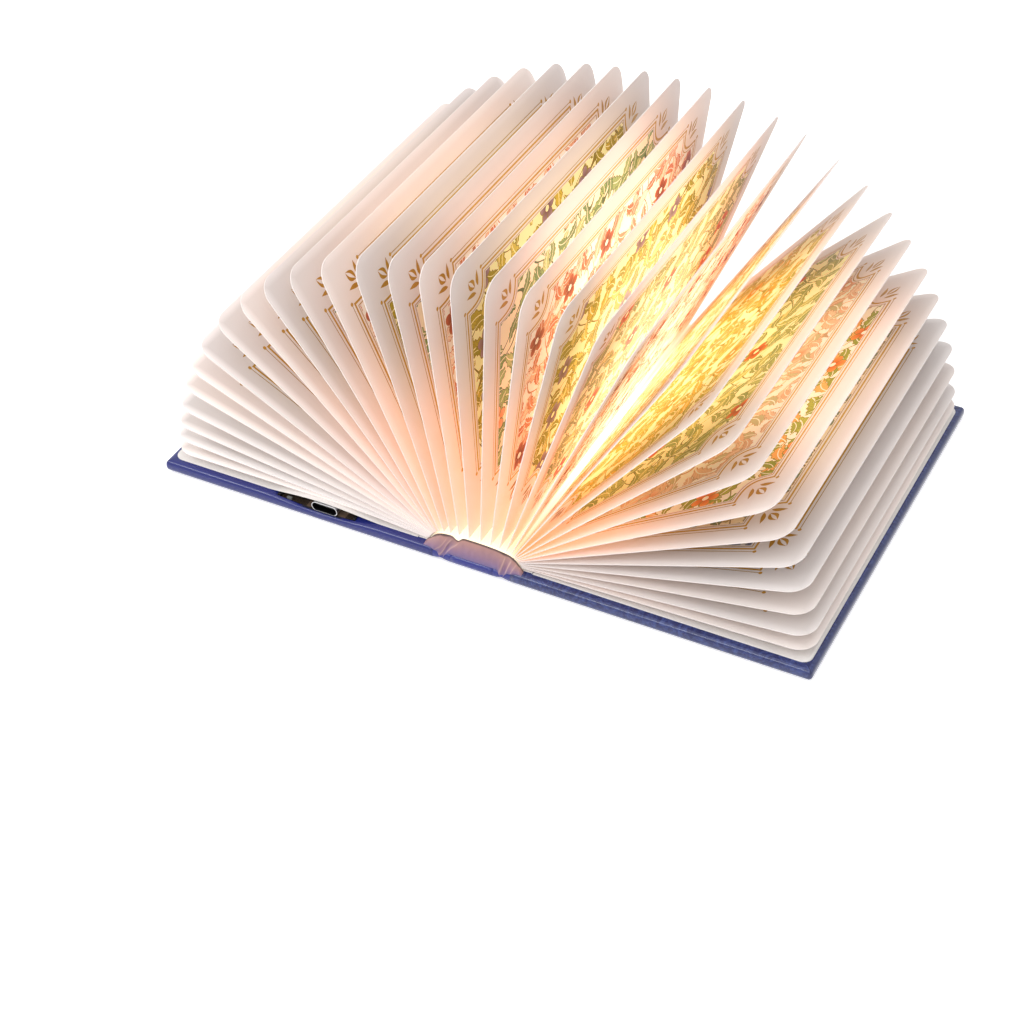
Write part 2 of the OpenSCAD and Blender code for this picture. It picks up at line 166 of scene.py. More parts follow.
# ---- Covers ----------------------------------------------------------------------------------
# Two greyboard boards wrapped in printed paper with a glossy film. The paper is turned over the
# edges onto the inside and mitred at the corners; the front one is cut away over the charging
# module, where its tail edge is pressed down.
MM = 0.001
cover_height = 140.0
cover_thickness = 4.0
cover_inner_x = 12.9
cover_outer_x = 107.6
cover_width = cover_outer_x - cover_inner_x
edge_radius = 1.7
corner_radius = 1.2
corner_columns_x = 90.0
turn_in = 12.0
turn_in_rows = (2.6, 5.0, turn_in)
extra_row = 14
extra_inset = 0.7
fold_lift = 0.1
paper = 0.3
module_x = (40.1, 67.6)
module_y = (-68.7, -40.0)
module_floor = 2.4
press_middle = 51.5
press_half = 21.0
press_depth = 1.1
press_start_y = -64.0
press_run = 4.0
press_clearance = 0.04
lining_end_x = 16.5
lining_tab_y = 58.0


def make_piece(name, points, faces, material, body=None, smooth=True):
    """A mesh object in the row frame from points in millimetres, with one or more materials."""
    mesh = bpy.data.meshes.new(name)
    mesh.from_pydata((np.asarray(points, float) * MM).tolist(), [], [list(map(int, f)) for f in faces])
    for one in (material if isinstance(material, list) else [material]):
        mesh.materials.append(one)
    mesh.polygons.foreach_set("use_smooth", [smooth] * len(mesh.polygons))
    mesh.update()
    piece = bpy.data.objects.new(name, mesh)
    scene.collection.objects.link(piece)
    if body:
        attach(piece, body)
    return piece


def grid_faces(rows, columns, wrap=False):
    """Quads between the neighbours of a rows x columns grid of points, numbered row by row."""
    last = columns if wrap else columns - 1
    i, j = np.meshgrid(np.arange(rows - 1), np.arange(last), indexing="ij")
    k = (j + 1) % columns
    a, b, c, d = i * columns + j, i * columns + k, (i + 1) * columns + k, (i + 1) * columns + j
    return np.stack([a, b, c, d], -1).reshape(-1, 4)


def cover_paper(side, pressed):
    """The sheet round one board: a profile (bottom edge, round edge, turned-in top) is carried
    along the outline, which is the board's outline moved inwards by the profile's inset, with one
    more row on the round edge. Over the module the upper edge sinks as a squared cosine, and stays
    just over the scooped board."""
    turn = np.radians(np.linspace(0, 90, 9))
    bottom, top = edge_radius * (1 - np.cos(turn)), edge_radius * np.sin(turn)
    upper_z = cover_thickness - edge_radius
    inset = np.concatenate([edge_radius - top, bottom, turn_in_rows])
    height = np.concatenate([bottom, upper_z + top, [cover_thickness] * len(turn_in_rows)])
    inset = np.insert(inset, extra_row, extra_inset)
    extra_height = upper_z + math.sqrt(edge_radius ** 2 - (edge_radius - extra_inset) ** 2)
    height = np.insert(height, extra_row, extra_height)
    module_columns = (np.array(module_x) - cover_inner_x) / cover_width
    across = np.unique(np.concatenate([np.linspace(0, 1, 60)[:-1], module_columns]))
    bend = np.radians(np.linspace(0, 90, 7))
    rows = []
    for d, z in zip(inset, height):
        r = max(corner_radius - d, 0.02)
        far_x, far_y = cover_outer_x - d, cover_height / 2 - d
        tail_x = cover_inner_x + across * cover_width
        squeeze = (far_x - r - corner_columns_x) / (cover_outer_x - corner_columns_x)
        squeezed = corner_columns_x + (tail_x - corner_columns_x) * squeeze
        tail_x = np.where(tail_x > corner_columns_x, squeezed, tail_x)
        corner = np.stack([far_x - r + r * np.sin(bend), -far_y + r - r * np.cos(bend)], -1)
        side_y = np.linspace(-far_y + r, far_y - r, 40)[1:-1]
        tail = np.stack([tail_x, np.full_like(tail_x, -far_y)], -1)
        fore = np.stack([np.full_like(side_y, far_x), side_y], -1)
        half = np.concatenate([tail, corner])
        outline = np.concatenate([half, fore, half[::-1] * [1, -1]])
        rows.append(np.column_stack([outline, np.full(len(outline), z)]))
    points = np.array(rows)
    count = points.shape[1]
    ends = np.full(count, fold_lift)
    to_mitre = len(across) + len(bend) // 2
    ends[to_mitre:count - to_mitre] = 0
    turned = (inset >= edge_radius) & (height > upper_z)
    points[turned, :, 2] += ends
    faces = grid_faces(len(points), count)
    if pressed:
        x, y, z = points[..., 0], points[..., 1], points[..., 2]
        reach = np.clip(np.abs(x - press_middle) / press_half, 0, 1)
        near = np.clip((press_start_y - y) / press_run, 0, 1)
        drop = press_depth * np.cos(reach * np.pi / 2) ** 2 * near
        within = np.clip(edge_radius - inset, 0, edge_radius - paper)
        board = upper_z + np.sqrt((edge_radius - paper) ** 2 - within ** 2)
        board = np.minimum(board[:, None], cover_thickness - press_depth * (1 - reach ** 2))
        upper = (height > upper_z)[:, None] & (near > 0)
        z = z - drop * np.clip(2 * z / cover_thickness - 1, 0, 1)
        points[..., 2] = np.where(upper, np.maximum(z, board + press_clearance), z)
        centre = points.reshape(-1, 3)[faces].mean(1)
        hole = (centre[:, 0] > module_x[0]) & (centre[:, 0] < module_x[1])
        hole &= (centre[:, 1] > module_y[0]) & (centre[:, 1] < module_y[1])
        faces = faces[~(hole & (centre[:, 2] > module_floor))]
    tab = np.array([(cover_inner_x, -1), (lining_end_x, -1), (lining_end_x, 1), (cover_inner_x, 1)])
    tab = np.column_stack([tab * [1, lining_tab_y], np.full(4, cover_thickness)])
    flat_points = np.concatenate([points.reshape(-1, 3), tab])
    start = len(flat_points) - 4
    polygons = [list(f) for f in faces] + [list(range(count))[::-1], list(range(start, start + 4))]
    if side < 0:
        flat_points = flat_points * [-1, 1, 1]
        polygons = [f[::-1] for f in polygons]
    return flat_points, polygons


def thicken(piece, depth):
    """Gives a sheet its thickness, inwards from the modelled face."""
    solid = piece.modifiers.new("thickness", "SOLIDIFY")
    solid.thickness = depth * MM
    solid.offset = -1
    return piece


def grained(name, dark, pale, grain, detail=2.0, bump=None, rough=None, glow=None, **surface):
    """A finish of two close tones, mixed by a noise whose cells are grain millimetres wide. Where
    they are given, the noise also makes a bump of a strength and a height in mm, and spreads the
    roughness between two values; glow is the strength at which the tones shine by themselves."""
    material, tree, shader = finish(name, **surface)
    place = add(tree, "TexCoord")["Object"]
    noise = add(tree, "TexNoise", {"Vector": place, "Scale": 1 / (grain * MM), "Detail": detail})[0]
    tone = add(tree, "Mix", {0: noise, 6: linear(dark), 7: linear(pale)}, data_type="RGBA")[2]
    tree.links.new(tone, shader.inputs["Base Color"])
    if bump:
        relief = add(tree, "Bump", {"Strength": bump[0], "Distance": bump[1] * MM, "Height": noise})
        tree.links.new(relief[0], shader.inputs["Normal"])
    if rough:
        spread = add(tree, "MapRange", {0: noise, 3: rough[0], 4: rough[1]})
        tree.links.new(spread[0], shader.inputs["Roughness"])
    if glow:
        tree.links.new(tone, shader.inputs["Emission Color"])
        shader.inputs["Emission Strength"].default_value = glow
    return material


def foliage(tree, place, ground, leaf_tones, flower_tone, heart_tone, line_tone, cell, rarity):
    """Scattered foliage over a plane in mm, as a colour. Voronoi cells give each motif its place
    and its turn. A leaf is a band that narrows as a parabola along a bowed rib, with slanting
    veins, in units of a thirteenth of its cell. A flower is a radius with five lobes, and the
    stems are a level line of a slow noise. The rarity is the share of cells without a flower."""
    ground_colour, line_colour = linear(ground), linear(line_tone)
    colour = add(tree, "Mix", {0: 0.0, 6: ground_colour, 7: ground_colour}, data_type="RGBA")[2]
    drift = add(tree, "TexNoise", {"Vector": place, "Scale": 0.62 / cell, "Detail": 0.0},
                noise_dimensions="2D")[0]
    for level, reach in ((0.42, 0.010), (0.58, 0.008)):
        stem = add(tree, "Math", {0: drift, 1: level, 2: reach}, operation="COMPARE")[0]
        colour = add(tree, "Mix", {0: stem, 6: colour, 7: line_colour}, data_type="RGBA")[2]
    for layer, (size, tone) in enumerate(zip((1.0, 0.85, 0.65), leaf_tones)):
        moved = add(tree, "VectorMath", {0: place, 1: (layer * 13.1, layer * 7.9, 0)}, operation="ADD")[0]
        cells = add(tree, "TexVoronoi", {"Vector": moved, "Scale": 1 / (cell * size), "Randomness": 0.6},
                    voronoi_dimensions="2D")
        local = add(tree, "VectorMath", {0: moved, 1: cells["Position"]}, operation="SUBTRACT")[0]
        local = add(tree, "VectorMath", {0: local, "Scale": 13.0 / (cell * size)}, operation="SCALE")[0]
        chance = add(tree, "SeparateColor", {0: cells["Color"]})
        turn = add(tree, "Math", {0: chance[0], 1: 6.28}, operation="MULTIPLY")[0]
        local = add(tree, "VectorRotate", {"Vector": local, "Angle": turn}, rotation_type="Z_AXIS")[0]
        part = add(tree, "SeparateXYZ", {0: local})
        square = add(tree, "Math", {0: part[0], 1: part[0]}, operation="MULTIPLY")[0]
        bowed = add(tree, "Math", {0: square, 1: 0.05, 2: part[1]}, operation="MULTIPLY_ADD")[0]
        from_rib = add(tree, "Math", {0: bowed}, operation="ABSOLUTE")[0]
        half_width = add(tree, "Math", {0: square, 1: -0.062, 2: 2.75}, operation="MULTIPLY_ADD")[0]
        wave = add(tree, "Math", {0: part[0], 1: 2.3}, operation="MULTIPLY")[0]
        wave = add(tree, "Math", {0: wave}, operation="SINE")[0]
        half_width = add(tree, "Math", {0: wave, 1: 0.34, 2: half_width}, operation="MULTIPLY_ADD")[0]
        within = add(tree, "Math", {0: half_width, 1: from_rib}, operation="SUBTRACT")[0]
        leaf = add(tree, "Math", {0: within, 1: 0.0}, operation="GREATER_THAN")[0]
        blade = add(tree, "Math", {0: within, 1: 0.34}, operation="GREATER_THAN")[0]
        rib = add(tree, "Math", {0: from_rib, 1: 0.2}, operation="LESS_THAN")[0]
        slant = add(tree, "Math", {0: from_rib, 1: 1.2, 2: part[0]}, operation="MULTIPLY_ADD")[0]
        veins = add(tree, "Math", {0: slant, 1: 3.9}, operation="MULTIPLY")[0]
        veins = add(tree, "Math", {0: veins}, operation="SINE")[0]
        veins = add(tree, "Math", {0: veins, 1: 0.72}, operation="GREATER_THAN")[0]
        fill = add(tree, "Mix", {0: chance[1], 6: linear(tone[0]), 7: linear(tone[1])}, data_type="RGBA")[2]
        dark = add(tree, "Mix", {0: 0.5, 6: fill, 7: line_colour}, data_type="RGBA")[2]
        fill = add(tree, "Mix", {0: veins, 6: fill, 7: dark}, data_type="RGBA")[2]
        fill = add(tree, "Mix", {0: rib, 6: fill, 7: ground_colour}, data_type="RGBA")[2]
        fill = add(tree, "Mix", {0: blade, 6: line_colour, 7: fill}, data_type="RGBA")[2]
        colour = add(tree, "Mix", {0: leaf, 6: colour, 7: fill}, data_type="RGBA")[2]
    cells = add(tree, "TexVoronoi", {"Vector": place, "Scale": 1 / (cell * 1.7), "Randomness": 0.5},
                voronoi_dimensions="2D")
    local = add(tree, "VectorMath", {0: place, 1: cells["Position"]}, operation="SUBTRACT")[0]
    part = add(tree, "SeparateXYZ", {0: local})
    radius = add(tree, "VectorMath", {0: local}, operation="LENGTH")["Value"]
    lobes = add(tree, "Math", {0: part[1], 1: part[0]}, operation="ARCTAN2")[0]
    lobes = add(tree, "Math", {0: lobes, 1: 2.5}, operation="MULTIPLY")[0]
    lobes = add(tree, "Math", {0: lobes}, operation="COSINE")[0]
    lobes = add(tree, "Math", {0: lobes}, operation="ABSOLUTE")[0]
    petal_edge = add(tree, "Math", {0: lobes, 1: cell * 0.15, 2: cell * 0.24}, operation="MULTIPLY_ADD")[0]
    within = add(tree, "Math", {0: petal_edge, 1: radius}, operation="SUBTRACT")[0]
    flower = add(tree, "Math", {0: within, 1: 0.0}, operation="GREATER_THAN")[0]
    petal = add(tree, "Math", {0: within, 1: 0.32}, operation="GREATER_THAN")[0]
    picked = add(tree, "SeparateColor", {0: cells["Color"]})[1]
    picked = add(tree, "Math", {0: picked, 1: rarity}, operation="GREATER_THAN")[0]
    flower = add(tree, "Math", {0: flower, 1: picked}, operation="MULTIPLY")[0]
    parted = add(tree, "Math", {0: lobes, 1: 0.16}, operation="GREATER_THAN")[0]
    petal = add(tree, "Math", {0: petal, 1: parted}, operation="MULTIPLY")[0]
    heart = add(tree, "Math", {0: radius, 1: cell * 0.085}, operation="LESS_THAN")[0]
    fade = add(tree, "MapRange", {0: radius, 1: cell * 0.1, 2: cell * 0.36})[0]
    petals = add(tree, "Mix", {0: fade, 6: linear(heart_tone), 7: linear(flower_tone)}, data_type="RGBA")[2]
    petals = add(tree, "Mix", {0: petal, 6: line_colour, 7: petals}, data_type="RGBA")[2]
    petals = add(tree, "Mix", {0: heart, 6: petals, 7: ground_colour}, data_type="RGBA")[2]
    return add(tree, "Mix", {0: flower, 6: colour, 7: petals}, data_type="RGBA")[2]


def gloss_film(tree, shader, colour):
    """Clear film over print: the given colour stays even under a gloss coat, whose orange peel of
    about 1.4 mm breaks the tight highlight along the round edges a little."""
    coordinates = add(tree, "TexCoord")["Object"]
    peel = add(tree, "TexNoise", {"Vector": coordinates, "Scale": 1 / (1.43 * MM), "Detail": 2.0})
    bump = add(tree, "Bump", {"Strength": 0.12, "Distance": 0.1 * MM, "Height": peel[0]})
    tree.links.new(bump[0], shader.inputs["Normal"])
    tree.links.new(colour, shader.inputs["Base Color"])
    shader.inputs["Roughness"].default_value = 0.36
    shader.inputs["Specular IOR Level"].default_value = 0.2
    shader.inputs["Coat Weight"].default_value = 0.8
    shader.inputs["Coat Roughness"].default_value = 0.13


lined_x = 16.2
lined_half_y = 68.4
lined_from_z = 2.6
mitre_half = 0.16


def turned_in(tree, place, outside):
    """The inside of a cover: the lining's colour up to where the film is glued down, and a line of painted
    shade along the mitre where the turned-in paper meets at 45 degrees in the corners."""
    axes = add(tree, "SeparateXYZ", {0: place})
    across = add(tree, "Math", {0: axes[0]}, operation="ABSOLUTE")[0]
    along = add(tree, "Math", {0: axes[1]}, operation="ABSOLUTE")[0]
    top = add(tree, "Math", {0: axes[2], 1: lined_from_z * MM}, operation="GREATER_THAN")[0]
    inner = add(tree, "Math", {0: across, 1: lined_x * MM}, operation="LESS_THAN")[0]
    within = add(tree, "Math", {0: along, 1: lined_half_y * MM}, operation="LESS_THAN")[0]
    lined = add(tree, "Math", {0: inner, 1: top}, operation="MULTIPLY")[0]
    lined = add(tree, "Math", {0: lined, 1: within}, operation="MULTIPLY")[0]
    # Painted shade: a dark navy line along each corner's mitre.
    corner = add(tree, "Math", {0: across, 1: along}, operation="SUBTRACT")[0]
    mitre = add(tree, "Math", {0: corner, 1: (cover_outer_x - cover_height / 2) * MM, 2: mitre_half * MM},
                operation="COMPARE")[0]
    mitre = add(tree, "Math", {0: mitre, 1: top}, operation="MULTIPLY")[0]
    colour = add(tree, "Mix", {0: lined, 6: outside, 7: linear("#8a7080")}, data_type="RGBA")[2]
    return add(tree, "Mix", {0: mitre, 6: colour, 7: linear("#15173c")}, data_type="RGBA")[2]


print_middle_x = 60.5
print_half_x = 47.1
outer_face_z = 0.35
stitch_pitch = 5.0
stitch_length = 3.3
stitch_slant = 0.5
stitch_inset = 7.6
stitch_half = 0.75
bead_radians_per_mm = 5.2
bead_inset = 9.9
bead_half = 0.32
seeds_per_mm = 0.42
seed_share_of_spacing = 0.13
ground_brightness = 0.03
panel_inset = 9.3
picture_inset = 10.6
picture_black = "#1d1c19"
outline_black = "#14140f"
cartouche_place = (-60.5, 22.0, 0)
cartouche_shape = (1.0, 1.45, 0)
cartouche_lobes = 12.0
lobe_depth = 0.9
cartouche_rings = ((20.0, outline_black), (19.2, "#ee7f6a"), (16.4, outline_black), (16.0, "#f4a27c"),
                   (13.8, "#232c86"))


def front_print(tree, place):
    """The front cover's print: a blue border, a row of white dashes that slant, a row of beads,
    and a picture of foliage on black with pale seeds between the leaves. On it lies a blank coral
    cartouche, an oval whose radius swells twelve times round as a sine."""
    cloud = add(tree, "TexNoise", {"Vector": place, "Scale": 1 / (16.7 * MM), "Detail": 2.0})[0]
    blue = add(tree, "Mix", {0: cloud, 6: linear("#171f6a"), 7: linear("#1d2776")}, data_type="RGBA")[2]
    in_mm = add(tree, "VectorMath", {0: place, "Scale": 1 / MM}, operation="SCALE")[0]
    axes = add(tree, "SeparateXYZ", {0: in_mm})
    across = add(tree, "Math", {0: axes[0], 1: print_middle_x}, operation="ADD")[0]
    side = add(tree, "Math", {0: across}, operation="ABSOLUTE")[0]
    end = add(tree, "Math", {0: axes[1]}, operation="ABSOLUTE")[0]
    from_side = add(tree, "Math", {0: print_half_x, 1: side}, operation="SUBTRACT")[0]
    from_end = add(tree, "Math", {0: cover_height / 2, 1: end}, operation="SUBTRACT")[0]
    depth = add(tree, "Math", {0: from_side, 1: from_end}, operation="MINIMUM")[0]
    near_side = add(tree, "Math", {0: from_side, 1: from_end}, operation="LESS_THAN")[0]
    run = add(tree, "Mix", {0: near_side, 2: axes[0], 3: axes[1]})[0]
    stitch = add(tree, "Math", {0: depth, 1: stitch_slant, 2: run}, operation="MULTIPLY_ADD")[0]
    stitch = add(tree, "Math", {0: stitch, 1: stitch_pitch}, operation="FLOORED_MODULO")[0]
    stitch = add(tree, "Math", {0: stitch, 1: stitch_length}, operation="LESS_THAN")[0]
    stitch_row = add(tree, "Math", {0: depth, 1: stitch_inset, 2: stitch_half}, operation="COMPARE")[0]
    stitch = add(tree, "Math", {0: stitch, 1: stitch_row}, operation="MULTIPLY")[0]
    bead = add(tree, "Math", {0: run, 1: bead_radians_per_mm}, operation="MULTIPLY")[0]
    bead = add(tree, "Math", {0: bead}, operation="SINE")[0]
    bead = add(tree, "Math", {0: bead, 1: -0.2}, operation="GREATER_THAN")[0]
    bead_row = add(tree, "Math", {0: depth, 1: bead_inset, 2: bead_half}, operation="COMPARE")[0]
    bead = add(tree, "Math", {0: bead, 1: bead_row}, operation="MULTIPLY")[0]
    panel = add(tree, "Math", {0: depth, 1: panel_inset}, operation="GREATER_THAN")[0]
    picture = add(tree, "Math", {0: depth, 1: picture_inset}, operation="GREATER_THAN")[0]
    leaf_tones = (("#8f9680", "#a9ad8c"), ("#5a6a2c", "#77823a"), ("#e88a55", "#c98f4e"))
    garden = foliage(tree, in_mm, picture_black, leaf_tones, "#7480cf", "#e9c98c", outline_black, 15.0, 0.0)
    seeds = add(tree, "TexVoronoi", {"Vector": in_mm, "Scale": seeds_per_mm}, voronoi_dimensions="2D")
    seeds = add(tree, "Math", {0: seeds["Distance"], 1: seed_share_of_spacing}, operation="LESS_THAN")[0]
    bare = add(tree, "RGBToBW", {0: garden})[0]
    bare = add(tree, "Math", {0: bare, 1: ground_brightness}, operation="LESS_THAN")[0]
    seeds = add(tree, "Math", {0: seeds, 1: bare}, operation="MULTIPLY")[0]
    seeds = add(tree, "Math", {0: seeds, 1: picture}, operation="MULTIPLY")[0]
    art = add(tree, "Mix", {0: panel, 6: blue, 7: linear(picture_black)}, data_type="RGBA")[2]
    for inked, ink in ((picture, garden), (seeds, linear("#f3f1ea")), (bead, linear("#f0965c")),
                       (stitch, linear("#f6f5f2"))):
        art = add(tree, "Mix", {0: inked, 6: art, 7: ink}, data_type="RGBA")[2]
    medal = add(tree, "VectorMath", {0: in_mm, 1: cartouche_place}, operation="SUBTRACT")[0]
    medal = add(tree, "VectorMath", {0: medal, 1: cartouche_shape}, operation="MULTIPLY")[0]
    medal_axes = add(tree, "SeparateXYZ", {0: medal})
    wave = add(tree, "Math", {0: medal_axes[1], 1: medal_axes[0]}, operation="ARCTAN2")[0]
    wave = add(tree, "Math", {0: wave, 1: cartouche_lobes}, operation="MULTIPLY")[0]
    wave = add(tree, "Math", {0: wave}, operation="SINE")[0]
    radius = add(tree, "VectorMath", {0: medal}, operation="LENGTH")["Value"]
    radius = add(tree, "Math", {0: wave, 1: lobe_depth, 2: radius}, operation="MULTIPLY_ADD")[0]
    for ring, tone in cartouche_rings:
        within = add(tree, "Math", {0: radius, 1: ring}, operation="LESS_THAN")[0]
        art = add(tree, "Mix", {0: within, 6: art, 7: linear(tone)}, data_type="RGBA")[2]
    outside = add(tree, "Math", {0: axes[2], 1: outer_face_z}, operation="LESS_THAN")[0]
    return add(tree, "Mix", {0: outside, 6: blue, 7: art}, data_type="RGBA")[2]


# Front paper: offset print in royal blue, laminated with a clear gloss film, so that a line of
# light runs along its round edges and its blue stays even.
front_finish, front_tree, front_shader = finish("front_paper_gloss_laminated")
front_place = add(front_tree, "TexCoord")["Object"]
front_colour = front_print(front_tree, front_place)
gloss_film(front_tree, front_shader, turned_in(front_tree, front_place, front_colour))

front_points, front_faces = cover_paper(-1, True)
front_paper = make_piece("front_cover_paper", front_points, front_faces, front_finish, "front_cover")
thicken(front_paper, paper)
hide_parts("front_wrap")


def marbling(tree, place):
    """Two blues mixed by a noise with cells of 1.5 mm, which another noise of 11 mm drags out of
    line by up to 12 mm. It fades to the plain darker blue round the fore-edge."""
    drift = add(tree, "TexNoise", {"Vector": place, "Scale": 1 / (11.1 * MM), "Detail": 3.0})["Color"]
    drift = add(tree, "VectorMath", {0: drift, 1: (12 * MM, 12 * MM, 12 * MM)}, operation="MULTIPLY")[0]
    dragged = add(tree, "VectorMath", {0: place, 1: drift}, operation="ADD")[0]
    vein = add(tree, "TexNoise", {"Vector": dragged, "Scale": 1 / (1.54 * MM), "Detail": 5.0,
                                  "Roughness": 0.62})[0]
    vein = add(tree, "MapRange", {0: vein, 1: 0.42, 2: 0.74})[0]
    across = add(tree, "SeparateXYZ", {0: place})[0]
    inward = add(tree, "MapRange", {0: across, 1: 107.4 * MM, 2: 106.0 * MM})[0]
    vein = add(tree, "Math", {0: vein, 1: inward}, operation="MULTIPLY")[0]
    return add(tree, "Mix", {0: vein, 6: linear("#1b2459"), 7: linear("#40508f")}, data_type="RGBA")[2]


# Back paper: the same film over a marbled print, so its mottling shows dull under a clear gloss.
back_finish, back_tree, back_shader = finish("back_paper_marbled_laminated")
back_place = add(back_tree, "TexCoord")["Object"]
back_colour = marbling(back_tree, back_place)
gloss_film(back_tree, back_shader, turned_in(back_tree, back_place, back_colour))

back_points, back_faces = cover_paper(1, False)
back_paper = make_piece("back_cover_paper", back_points, back_faces, back_finish, "back_cover")
thicken(back_paper, paper)
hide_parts("back_wrap")

# Greyboard: pressed waste paper, uncoated, so it is quite dull with a short grey-brown fibre.
board_finish = grained("greyboard_uncoated", "#8d8472", "#a89f8c", 0.667, 4.0, Roughness=0.9)
for board_name in ("front_board", "back_board", "spine_board"):
    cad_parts[board_name].data.materials.clear()
    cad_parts[board_name].data.materials.append(board_finish)


# ---- Spine and joints ------------------------------------------------------------------------
# The same paper runs on over a narrow board at the spine and down into a pressed groove on each
# side of it, where the covers turn. Inside, a turned-in lining shows warm in the lamp's light.
spine_half = 7.2
spine_thickness = 3.4
groove_out = 1.25
groove_in = 1.55
lining_from_z = 1.7


def folded_skin(x, low, high, columns=14):
    """A flat tube along the spine: at each x its section runs along the bottom at height low,
    round the tail end as a half ellipse, back along the top at height high and round the head."""
    arc = np.radians(np.linspace(-90, 90, 13))
    half = (high - low) / 2
    round_y = np.minimum(half, edge_radius)
    end = cover_height / 2
    along = np.linspace(-1, 1, columns)[1:-1]
    tail_y = -(end - round_y)[:, None] - round_y[:, None] * np.cos(arc)
    tail_z = (low + half)[:, None] + half[:, None] * np.sin(arc)
    straight = (end - round_y)[:, None] * along
    y = np.concatenate([tail_y, straight, -tail_y[:, ::-1], straight[:, ::-1]], 1)
    z = np.concatenate([tail_z, np.repeat(high[:, None], len(along), 1), tail_z[:, ::-1],
                        np.repeat(low[:, None], len(along), 1)], 1)
    points = np.stack([np.repeat(x[:, None], y.shape[1], 1), y, z], -1)
    return points.reshape(-1, 3), grid_faces(len(x), y.shape[1], wrap=True)


def joint_heights(x):
    """Outer and inner face of the groove: level at both boards, and pressed together between
    them as a raised cosine that is narrowed to a valley."""
    t = (x - spine_half) / (cover_inner_x - spine_half)
    valley = (0.5 - 0.5 * np.cos(2 * np.pi * t)) ** 2.2
    low = groove_out * valley
    high = spine_thickness + (cover_thickness - spine_thickness) * t - groove_in * valley
    return low, high


def keep_open_place(piece, points):
    """Stores each point's place in the open lamp, so that a print stays put as the joints fold."""
    marks = piece.data.attributes.new("open_place", "FLOAT_VECTOR", "POINT")
    marks.data.foreach_set("vector", (points * MM).astype(np.float32).ravel())


# The figure's parts: reach across and along the spine, place from its middle, inner and outer
# radius as a share of the reach. They are two scalloped rosette rings, three loops that get
# slimmer, three drops and a dot, and a bud over two bars.
long_line_middle = 30.0
long_line_half = 12.5
figure_parts = ((2.6, 2.6, 0.0, 0.25, 0.5), (4.2, 4.2, 0.0, 0.68, 1.0), (2.0, 3.6, 9.6, 0.62, 1.0),
                (1.0, 1.9, 9.6, 0.0, 1.0), (1.3, 3.4, 15.4, 0.6, 1.0), (2.4, 1.1, 43.4, 0.0, 1.0),
                (1.2, 2.8, 46.4, 0.0, 1.0), (0.7, 0.7, 54.0, 0.0, 1.0), (1.5, 2.4, 61.2, 0.45, 1.0),
                (3.2, 0.3, 64.4, 0.0, 1.0), (3.2, 0.22, 65.4, 0.0, 1.0))


def spine_print(tree, place):
    """Blue film outside, with a gold figure down its middle, the same towards head and tail, and
    the dull purple-brown lining inside. Each part of the figure is an oval ring, a band of the
    radius in its own scaled plane; the rosette's radius has eight scallops."""
    cloud = add(tree, "TexNoise", {"Vector": place, "Scale": 1 / (7.14 * MM), "Detail": 3.0})[0]
    blue = add(tree, "Mix", {0: cloud, 6: linear("#23297a"), 7: linear("#2b3387")}, data_type="RGBA")[2]
    brown = add(tree, "Mix", {0: cloud, 6: linear("#6d5a72"), 7: linear("#846c7c")}, data_type="RGBA")[2]
    in_mm = add(tree, "VectorMath", {0: place, "Scale": 1 / MM}, operation="SCALE")[0]
    axes = add(tree, "SeparateXYZ", {0: in_mm})
    side = add(tree, "Math", {0: axes[0]}, operation="ABSOLUTE")[0]
    end = add(tree, "Math", {0: axes[1]}, operation="ABSOLUTE")[0]
    top = add(tree, "Math", {0: axes[2], 1: lining_from_z}, operation="GREATER_THAN")[0]
    within = add(tree, "Math", {0: end, 1: lined_half_y}, operation="LESS_THAN")[0]
    inside = add(tree, "Math", {0: top, 1: within}, operation="MULTIPLY")[0]
    quarter = add(tree, "CombineXYZ", {0: side, 1: end})[0]
    figure = add(tree, "Math", {0: side, 1: 0.28}, operation="LESS_THAN")[0]
    long_line = add(tree, "Math", {0: end, 1: long_line_middle, 2: long_line_half}, operation="COMPARE")[0]
    figure = add(tree, "Math", {0: figure, 1: long_line}, operation="MULTIPLY")[0]
    for reach_x, reach_y, part_y, low, high in figure_parts:
        scale = (1 / reach_x, 1 / reach_y, 0)
        moved = add(tree, "VectorMath", {0: quarter, 1: (0, -part_y, 0)}, operation="ADD")[0]
        moved = add(tree, "VectorMath", {0: moved, 1: scale}, operation="MULTIPLY")[0]
        radius = add(tree, "VectorMath", {0: moved}, operation="LENGTH")["Value"]
        if part_y == 0.0:
            part = add(tree, "SeparateXYZ", {0: moved})
            scallop = add(tree, "Math", {0: part[1], 1: part[0]}, operation="ARCTAN2")[0]
            scallop = add(tree, "Math", {0: scallop, 1: 8.0}, operation="MULTIPLY")[0]
            scallop = add(tree, "Math", {0: scallop}, operation="SINE")[0]
            radius = add(tree, "Math", {0: scallop, 1: 0.12, 2: radius}, operation="MULTIPLY_ADD")[0]
        band = {0: radius, 1: (low + high) / 2, 2: (high - low) / 2}
        shape = add(tree, "Math", band, operation="COMPARE")[0]
        figure = add(tree, "Math", {0: figure, 1: shape}, operation="MAXIMUM")[0]
    outside = add(tree, "Math", {0: axes[2], 1: outer_face_z}, operation="LESS_THAN")[0]
    figure = add(tree, "Math", {0: figure, 1: outside}, operation="MULTIPLY")[0]
    colour = add(tree, "Mix", {0: figure, 6: blue, 7: linear("#c99a55")}, data_type="RGBA")[2]
    return add(tree, "Mix", {0: inside, 6: colour, 7: brown}, data_type="RGBA")[2]


# Spine paper: the front's print and gloss film, with dull gold ink under the film.
spine_finish, spine_tree, spine_shader = finish("spine_paper_laminated")
spine_place = add(spine_tree, "Attribute", attribute_name="open_place")["Vector"]
gloss_film(spine_tree, spine_shader, spine_print(spine_tree, spine_place))

